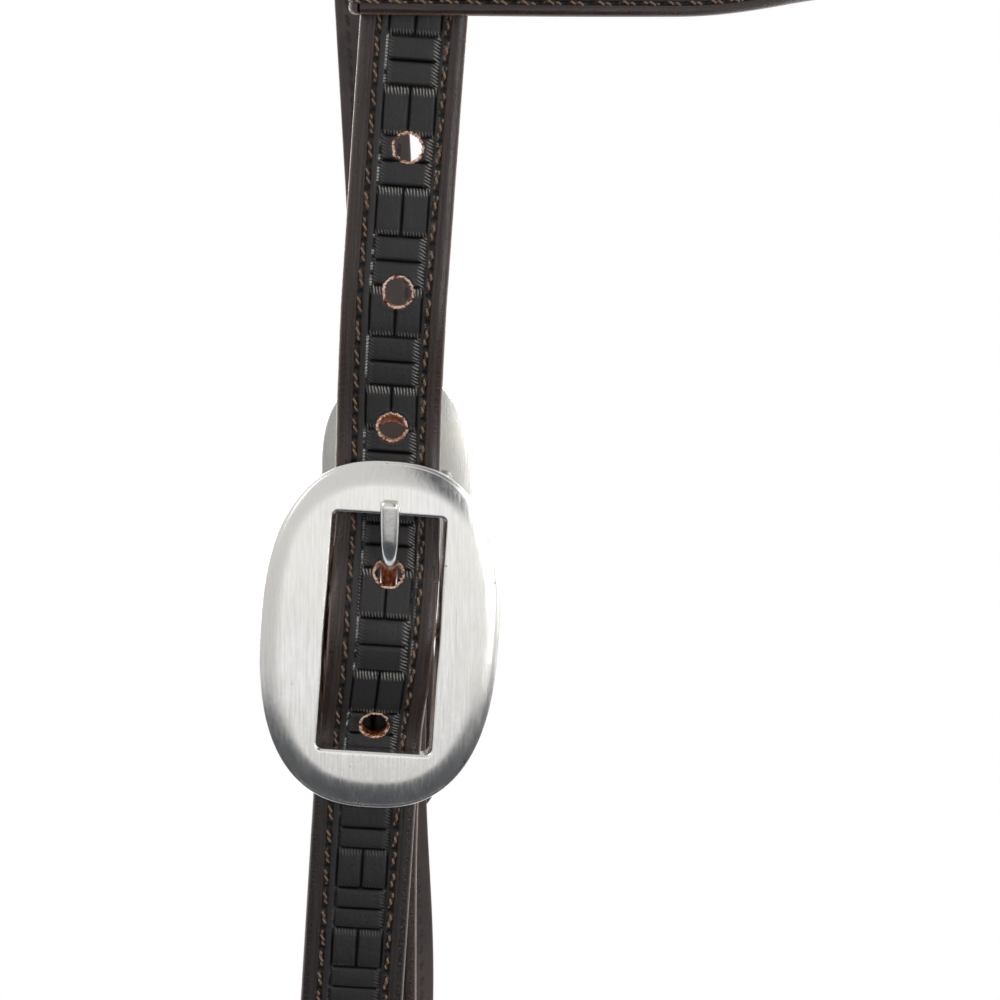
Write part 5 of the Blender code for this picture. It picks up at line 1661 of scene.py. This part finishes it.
def hole_lining(path, places, top):
    """Punched holes' walls of cut fibre, each with a ragged pale rim turned over the grain side."""
    rows = [(spread, edge * top + step, rough) for spread, edge, step, rough in HOLE_ROWS]
    angle = np.linspace(0.0, 2 * math.pi, HOLE_SIDES, endpoint=False)
    verts = []
    for index, (run, w) in enumerate(places):
        for row, (spread, height, rough) in enumerate(rows):
            ragged = HOLE_WANDER * noise_line(angle * 5.1 + index * 9.7, 0.7, index * 1.7)
            ragged = ragged + HOLE_FRAY * noise_line(angle * 14.0 + index, 0.5, row * 0.9)
            radius = HOLE_RADIUS + spread + ragged * rough
            lift = height + HOLE_FRAY * noise_line(angle * 9.0 + index * 3.3, 0.5, row * 2.3)
            along = radius * np.cos(angle)
            if index == TORN_HOLE:
                torn = TORN_LEAN * max(top - height - TORN_START, 0.0)
                along = along - torn * np.clip(np.cos(angle) * TORN_SPREAD, 0.0, 1.0)
            verts.append(path.at(run + along, w + radius * np.sin(angle), lift))
    number = np.arange(len(verts) * HOLE_SIDES).reshape(len(places), len(rows), HOLE_SIDES)
    mesh = mesh_from("hole_linings", np.concatenate(verts), ring_faces(number))
    kinds = np.ones((len(places), len(rows) - 1, HOLE_SIDES), dtype=np.int32)
    kinds[:, HOLE_RIM_ROWS] = 0
    mesh.polygons.foreach_set("material_index", kinds.ravel())
    return mesh


def lathe(profile):
    """A turned solid round the Z axis from a profile (radius, height) that starts and ends on it."""
    sides = TURNED_SIDES
    angle = np.linspace(0.0, 2 * math.pi, sides, endpoint=False)
    around = np.stack([np.cos(angle), np.sin(angle), np.zeros(sides)], axis=1)
    rings = [around * radius + (0.0, 0.0, height) for radius, height in profile[1:-1]]
    verts = np.concatenate([[(0.0, 0.0, profile[0][1])], *rings, [(0.0, 0.0, profile[-1][1])]])
    number = 1 + np.arange(len(rings) * sides).reshape(len(rings), sides)
    faces = ring_faces(number).tolist()
    for tip, ring in ((0, number[0]), (len(verts) - 1, number[-1])):
        faces += [(tip, i, j) for i, j in zip(ring.tolist(), np.roll(ring, -1).tolist())]
    return verts.tolist(), faces


def cut_slot(mesh, width, depth, top, reach):
    """The mesh with a screwdriver slot cut across its top."""

    def block(bm):
        bmesh.ops.create_cube(bm, size=1.0)
        for vertex in bm.verts:
            x, y, z = vertex.co
            vertex.co = (x * reach * 2, y * width, top - depth + (z + 0.5) * depth * 3)

    knife_mesh = worked_mesh(bpy.data.meshes.new("slot_knife"), block)
    item, knife = (bpy.data.objects.new(m.name, m) for m in (mesh, knife_mesh))
    for part in (item, knife):
        bpy.context.scene.collection.objects.link(part)
    boolean = item.modifiers.new("slot", "BOOLEAN")
    boolean.operation = "DIFFERENCE"
    boolean.solver = "EXACT"
    boolean.object = knife
    bpy.context.view_layer.update()
    mesh = bpy.data.meshes.new_from_object(item.evaluated_get(bpy.context.evaluated_depsgraph_get()))
    for part in (item, knife):
        bpy.data.objects.remove(part, do_unlink=True)
    return mesh


def turned_mesh(name, profile, slot=None):
    """A finely turned mesh with its axis along n, with a screwdriver slot cut across if asked."""
    mesh = bpy.data.meshes.new(name)
    verts, faces = lathe(profile)
    mesh.from_pydata(verts, [], faces)
    worked_mesh(mesh, turn_outwards)
    return keep_creases(cut_slot(mesh, *slot) if slot else mesh, 35)


def look_at_matrix(place, yaw, pitch, roll):
    """A camera's world matrix from its place, heading, downward pitch and roll."""
    ahead = Vector((math.sin(yaw) * math.cos(pitch), math.cos(yaw) * math.cos(pitch), -math.sin(pitch)))
    right = Vector((math.cos(yaw), -math.sin(yaw), 0.0))
    up = right.cross(ahead)
    right, up = (
        right * math.cos(roll) + up * math.sin(roll),
        up * math.cos(roll) - right * math.sin(roll),
    )
    return Matrix.Translation(place) @ Matrix((right, up, -ahead)).transposed().to_4x4()


def area_light(name, place, target, size, power):
    """A square studio light aimed at a point."""
    lamp = bpy.data.lights.new(name, "AREA")
    lamp.shape = "RECTANGLE"
    lamp.size, lamp.size_y = size
    lamp.energy = power
    item = bpy.data.objects.new(name, lamp)
    item.location = place
    item.rotation_euler = (Vector(target) - Vector(place)).to_track_quat("-Z", "Y").to_euler()
    bpy.context.scene.collection.objects.link(item)


def matt_surface(name, fibre, span, shades, kind):
    """A matt stage surface that camera rays meet as another shader, white or clear."""
    shade = Shade(name)
    fibre = shade.noise(fibre)
    fibre = shade.curve(fibre, *span) if span else fibre
    shade.finish(base_color=shade.mix(fibre, *shades), roughness=0.9)
    other = shade.node(kind)
    other.inputs["Color"].default_value = WHITE
    join = shade.node("ShaderNodeMixShader")
    output = next(n for n in shade.tree.nodes if n.type == "OUTPUT_MATERIAL")
    shade.link(shade.node("ShaderNodeLightPath").outputs["Is Camera Ray"], join.inputs[0])
    shade.link(shade.shader.outputs[0], join.inputs[1])
    shade.link(other.outputs[0], join.inputs[2])
    shade.link(join.outputs[0], output.inputs["Surface"])
    return shade.material


def stage_sheet(name, material, place, size, turn=(0.0, 0.0, 0.0)):
    """A flat sheet of the stage."""

    def grid(bm):
        bmesh.ops.create_grid(bm, x_segments=4, y_segments=4, size=0.5)
        bmesh.ops.scale(bm, vec=(*size, 1.0), verts=bm.verts)

    item = bpy.data.objects.new(name, worked_mesh(bpy.data.meshes.new(name), grid))
    item.data.materials.append(material)
    item.location = place
    item.rotation_euler = turn
    bpy.context.scene.collection.objects.link(item)


def surround():
    """Light grey all round, white to the camera."""
    world = bpy.data.worlds.new("studio")
    world.use_nodes = True
    bpy.context.scene.world = world
    tree = world.node_tree
    back = tree.nodes["Background"]
    path = tree.nodes.new("ShaderNodeLightPath")
    mix = tree.nodes.new("ShaderNodeMix")
    mix.data_type = "RGBA"
    colours = [i for i in mix.inputs if i.type == "RGBA"]
    colours[0].default_value = linear(0.78, 0.78, 0.79)
    colours[1].default_value = WHITE
    tree.links.new(path.outputs["Is Camera Ray"], mix.inputs["Factor"])
    tree.links.new([o for o in mix.outputs if o.type == "RGBA"][0], back.inputs["Color"])
    back.inputs["Strength"].default_value = 1.0


def studio():
    """Paper floor, white surround, soft lights, the cards that the metal mirrors, and the camera."""
    floor_z = float(CAD_BOUNDS[0][2]) - FLOOR_GAP
    papers = (linear(0.86, 0.86, 0.86), linear(0.82, 0.82, 0.82))
    paper = matt_surface("paper_floor", "paper", None, papers, "ShaderNodeEmission")
    stage_sheet("floor", paper, (0.0, 0.0, floor_z), FLOOR_SIZE)
    surround()
    for name, (place, target, size, power) in LAMPS.items():
        area_light(name, place, target, size, power)
    blues = (linear(0.034, 0.042, 0.055), linear(0.12, 0.115, 0.10))
    for name, place, size, turn in (
        ("mat", (*MAT_PLACE, floor_z + MAT_GAP), MAT_SIZE, (0.0, 0.0, 0.0)),
        ("flag", FLAG_PLACE, FLAG_SIZE, FLAG_TURN),
    ):
        card = matt_surface(name + "_card", "card", CARD_SPAN, blues, "ShaderNodeBsdfTransparent")
        stage_sheet(name, card, place, size, turn)
    lens = bpy.data.cameras.new("camera")
    lens.sensor_width = SENSOR_WIDTH
    lens.lens = FOCAL_PIXELS * SENSOR_WIDTH / PHOTO_PIXELS
    lens.clip_start = 0.01
    camera = bpy.data.objects.new("camera", lens)
    camera.matrix_world = look_at_matrix(Vector(CAMERA_PLACE), *CAMERA_TURNS)
    bpy.context.scene.collection.objects.link(camera)
    bpy.context.scene.camera = camera
    bpy.context.scene.view_settings.view_transform = "Standard"


def strap_piece(body, layer, path, thick, lift, looks, holes=()):
    """One leather layer of a body: its tooled outer or its plain backing."""
    look, slot, node = LAYERS[layer]
    name = f"{body}_{layer}"
    mesh = strap_mesh(name, path, thick, lift, layer == "tooled", holes)
    place_piece(name, mesh, [looks[look]], body, [f"{body}_{node}"])


def crown_pieces(looks):
    """Crown: tooled outer, lining, hole walls and two rows of stitches on each face."""
    path = crown_path()
    bar_far = path.far_run(0.0)
    near_top = path.near_run(BILLET_FINE_TOP)
    end = float(path.run[-1])
    ends = (path.near_run(BILLET_FINE_END), near_top, bar_far - FAR_BILLET, end)
    stops = list(zip(ends, CROWN_SPACINGS))
    dense = path.dense(close_ends(path, runs_between(path, stops), TIP_REACH))
    steps = [walk_billet(USED_HOLE_DROP, HOLE_PITCH * share) for share in HOLE_STEPS]
    places = [(path.near_run(u), HOLE_SHIFT) for u in steps] + [(path.far_run(u), 0.0) for u in steps]
    holes = [(run, w, HOLE_RADIUS) for run, w in places]
    thick = OUTER_THICK + LAYER_GAP * 0.8
    strap_piece("crown", "tooled", dense, thick, OUTER_OFFSET - LAYER_GAP * 0.4, looks, holes)
    stops = list(zip((near_top, bar_far - FAR_BACKING, end), BACKING_SPACINGS))
    flipped = path.dense(close_ends(path, runs_between(path, stops), TIP_REACH))
    flipped.normal *= -1.0
    flipped.wide *= -1.0
    holes = [(run, -w, HOLE_RADIUS) for run, w in places]
    strap_piece("crown", "backing", flipped, LINING_THICK, -LINING_OFFSET, looks, holes)
    mesh = hole_lining(path, places, BILLET_THICK / 2)
    place_piece("billet_hole_walls", mesh, [looks["rim"], looks["raw"]], "crown")
    first, last = path.run[0] + CROWN_SEAM_END, end - CROWN_SEAM_END
    for face, lift, look in (
        ("front", BILLET_THICK / 2 - THREAD_SINK, "thread"),
        ("back", -BILLET_THICK / 2, "dark_thread"),
    ):
        rows = [sew(path, lift, sign, first, last) for sign in (-1, 1)]
        stitches("crown_stitches_" + face, rows, "crown", looks[look])


def cheek_pieces(side, looks):
    """Cheek: tooled strip with the tongue's slot, its lining and its stitches."""
    body = side + "_cheek"
    path, lining = cheek_path(side), cheek_lining_path(side)
    start, end = float(path.run[0]), float(path.run[-1])
    stops = list(zip((*CHEEK_FINE, end), CHEEK_SPACINGS))
    dense = path.dense(close_ends(path, runs_between(path, stops), END_REACH))
    slot_w = TONGUE_SHIFT if side == "near" else 0.0
    slot = (WRAP_RADIUS * math.pi / 2 + LAYER_GAP, TONGUE_WIDTH / 2 + TONGUE_SLOT_GAP)
    strap_piece(body, "tooled", dense, CHEEK_THICK, 0.0, looks, [(0.0, slot_w, slot)])
    dense = lining.dense(np.linspace(lining.run[0], lining.run[-1], CHEEK_BACK_STATIONS))
    strap_piece(body, "backing", dense, LINING_THICK + LAYER_GAP * 1.7, 0.0, looks)
    seams = (
        (CHEEK_SEAM_START, lining.run[-1] + CHEEK_LINING_START),
        (start + SEAM_END, CHAPE_SEAM_END),
        (end - FLAP_SEAM[0], end - FLAP_SEAM[1]),
    )
    rows, back_rows = [], []
    for sign in (-1, 1):
        rows += [sew(path, CHEEK_THICK / 2 - THREAD_SINK, sign, first, last) for first, last in seams]
        lift = -LINING_THICK / 2 - THREAD_SINK
        first, last = lining.run[0] + CHEEK_BACK_SEAM[0], lining.run[-1] - CHEEK_BACK_SEAM[1]
        back_rows.append(sew(lining, lift, sign, first, last))
    stitches(body + "_stitches", rows, body, looks["thread"])
    stitches(body + "_stitches_back", back_rows, body, looks["dark_thread"])


def bit_screws(side, looks):
    """The two posts and slotted screws that close a bit loop."""
    front, back = CHEEK_FRONT_N + CHEEK_THICK / 2, CHEEK_BACK_N - CHEEK_THICK / 2
    head = [(radius, front + rise) for radius, rise in HEAD_PROFILE]
    head += [(radius, back + HEAD_SHANK[1]) for radius in (HEAD_SHANK[0], 0.0)]
    post = [(radius, back - drop) for radius, drop in POST_PROFILE]
    outer, bore, floor = POST_SHANK
    post += [(outer, front - SHANK_GAP), (bore, front - SHANK_GAP), (bore, back + floor), (0.0, back + floor)]
    slot_cut = (SLOT_WIDTH, SLOT_DEPTH, head[0][1], SLOT_REACH)
    for label, drop in SCREW_DROPS.items():
        u = THROAT_U - drop
        spot = side_point(SIDES[side]["cheek_skew"] * u + cheek_sway(side, u), u, 0.0)
        place = side_matrix(side) @ Matrix.Translation(spot) @ Matrix.Rotation(math.pi / 2, 4, "X")
        for kind, profile, slot in (("post", post, None), ("screw", head, slot_cut)):
            mesh = turned_mesh(f"{side}_{kind}_{label}", profile, slot)
            mesh.transform(place @ Matrix.Rotation(SCREW_TURNS[label], 4, "Z"))
            node = f"{side}_bit_{kind}_{label}"
            place_piece(node + "_fine", mesh, [looks["bright"]], side + "_cheek", [node])


def browband_pieces(looks):
    """Browband: tooled outer folded round both straps, its lining, and a row of stitches at each edge."""
    path, lining = browband_path(), browband_lining_path()
    start, end = float(path.run[0]), float(path.run[-1])
    body = "browband"
    stops = list(zip((*BROWBAND_FINE, end), BROWBAND_SPACINGS))
    dense = path.dense(close_ends(path, runs_between(path, stops), END_REACH))
    thick = OUTER_THICK - BROWBAND_TRIM
    strap_piece(body, "tooled", dense, thick, -BROWBAND_TRIM / 2, looks)
    dense = lining.dense(np.linspace(lining.run[0], lining.run[-1], BROWBAND_BACK_STATIONS))
    strap_piece(body, "backing", dense, LINING_THICK + LAYER_GAP, LAYER_GAP * 0.4, looks)
    rows = []
    for sign in (-1, 1):
        lift = OUTER_THICK / 2 - BROWBAND_TRIM - THREAD_SINK
        rows.append(sew(path, lift, sign, start + SEAM_END, end - SEAM_END))
        first, last = lining.run[0] + BROWBAND_BACK_SEAM, lining.run[-1] - BROWBAND_BACK_SEAM
        rows.append(sew(lining, -LINING_THICK / 2, sign, first, last))
    stitches("browband_stitches", rows, body, looks["thread"])


def buckle_pieces(side, looks, plate, tongue):
    """One buckle: its frame with the centre bar, and its tongue."""
    plate, tongue = plate.copy(), tongue.copy()
    plate.transform(Matrix.Translation((FRAME_SHIFTS[side], 0.0, 0.0)))
    if side == "near":
        for vertex in tongue.vertices:
            vertex.co.x += TONGUE_SHIFT - TONGUE_TURN * max(vertex.co.z + USED_HOLE_DROP, 0.0)
    for label, mesh, body, slot, worn in (
        ("buckle_frame", plate, "crown", "brushed_steel", ("satin", "back")),
        ("tongue", tongue, side + "_tongue", "bright_steel", ("bright",)),
    ):
        mesh.transform(side_matrix(side))
        node = f"{side}_{label}"
        place_piece(node + "_fine", mesh, [looks[look] for look in worn], body, [node])


def main():
    """Dress the headstall and light it."""
    looks = {
        "leather": leather_material(),
        "lining": lining_material(),
        "raw": raw_material("raw_leather_look", "fibre_deep", "fibre_pale", 0.35, 0.65),
        "rim": raw_material("hole_rim_look", "rim_deep", "rim_pale", 0.39, 0.61),
        "thread": thread_material("waxed_thread_look", "thread_light", "thread_dark"),
        "dark_thread": thread_material("lining_thread_look", "back_light", "back_dark"),
        "satin": steel_material("satin_steel_look", (0.76, 0.752, 0.735), "satin", 0.15, 0.24, 0.000008),
        # The plate's back: rougher steel, darker by painted shade
        "back": steel_material("plate_back_shaded_look", (0.44, 0.43, 0.41), "satin", 0.22, 0.34, 0.000012),
        "bright": steel_material("bright_steel_look", (0.74, 0.735, 0.72), "bright", 0.12, 0.20, 0.000008),
    }
    crown_pieces(looks)
    for side in SIDES:
        cheek_pieces(side, looks)
        bit_screws(side, looks)
    browband_pieces(looks)
    plate, tongue = frame_mesh(), tongue_mesh()
    for side in SIDES:
        buckle_pieces(side, looks, plate, tongue)
    studio()


main()
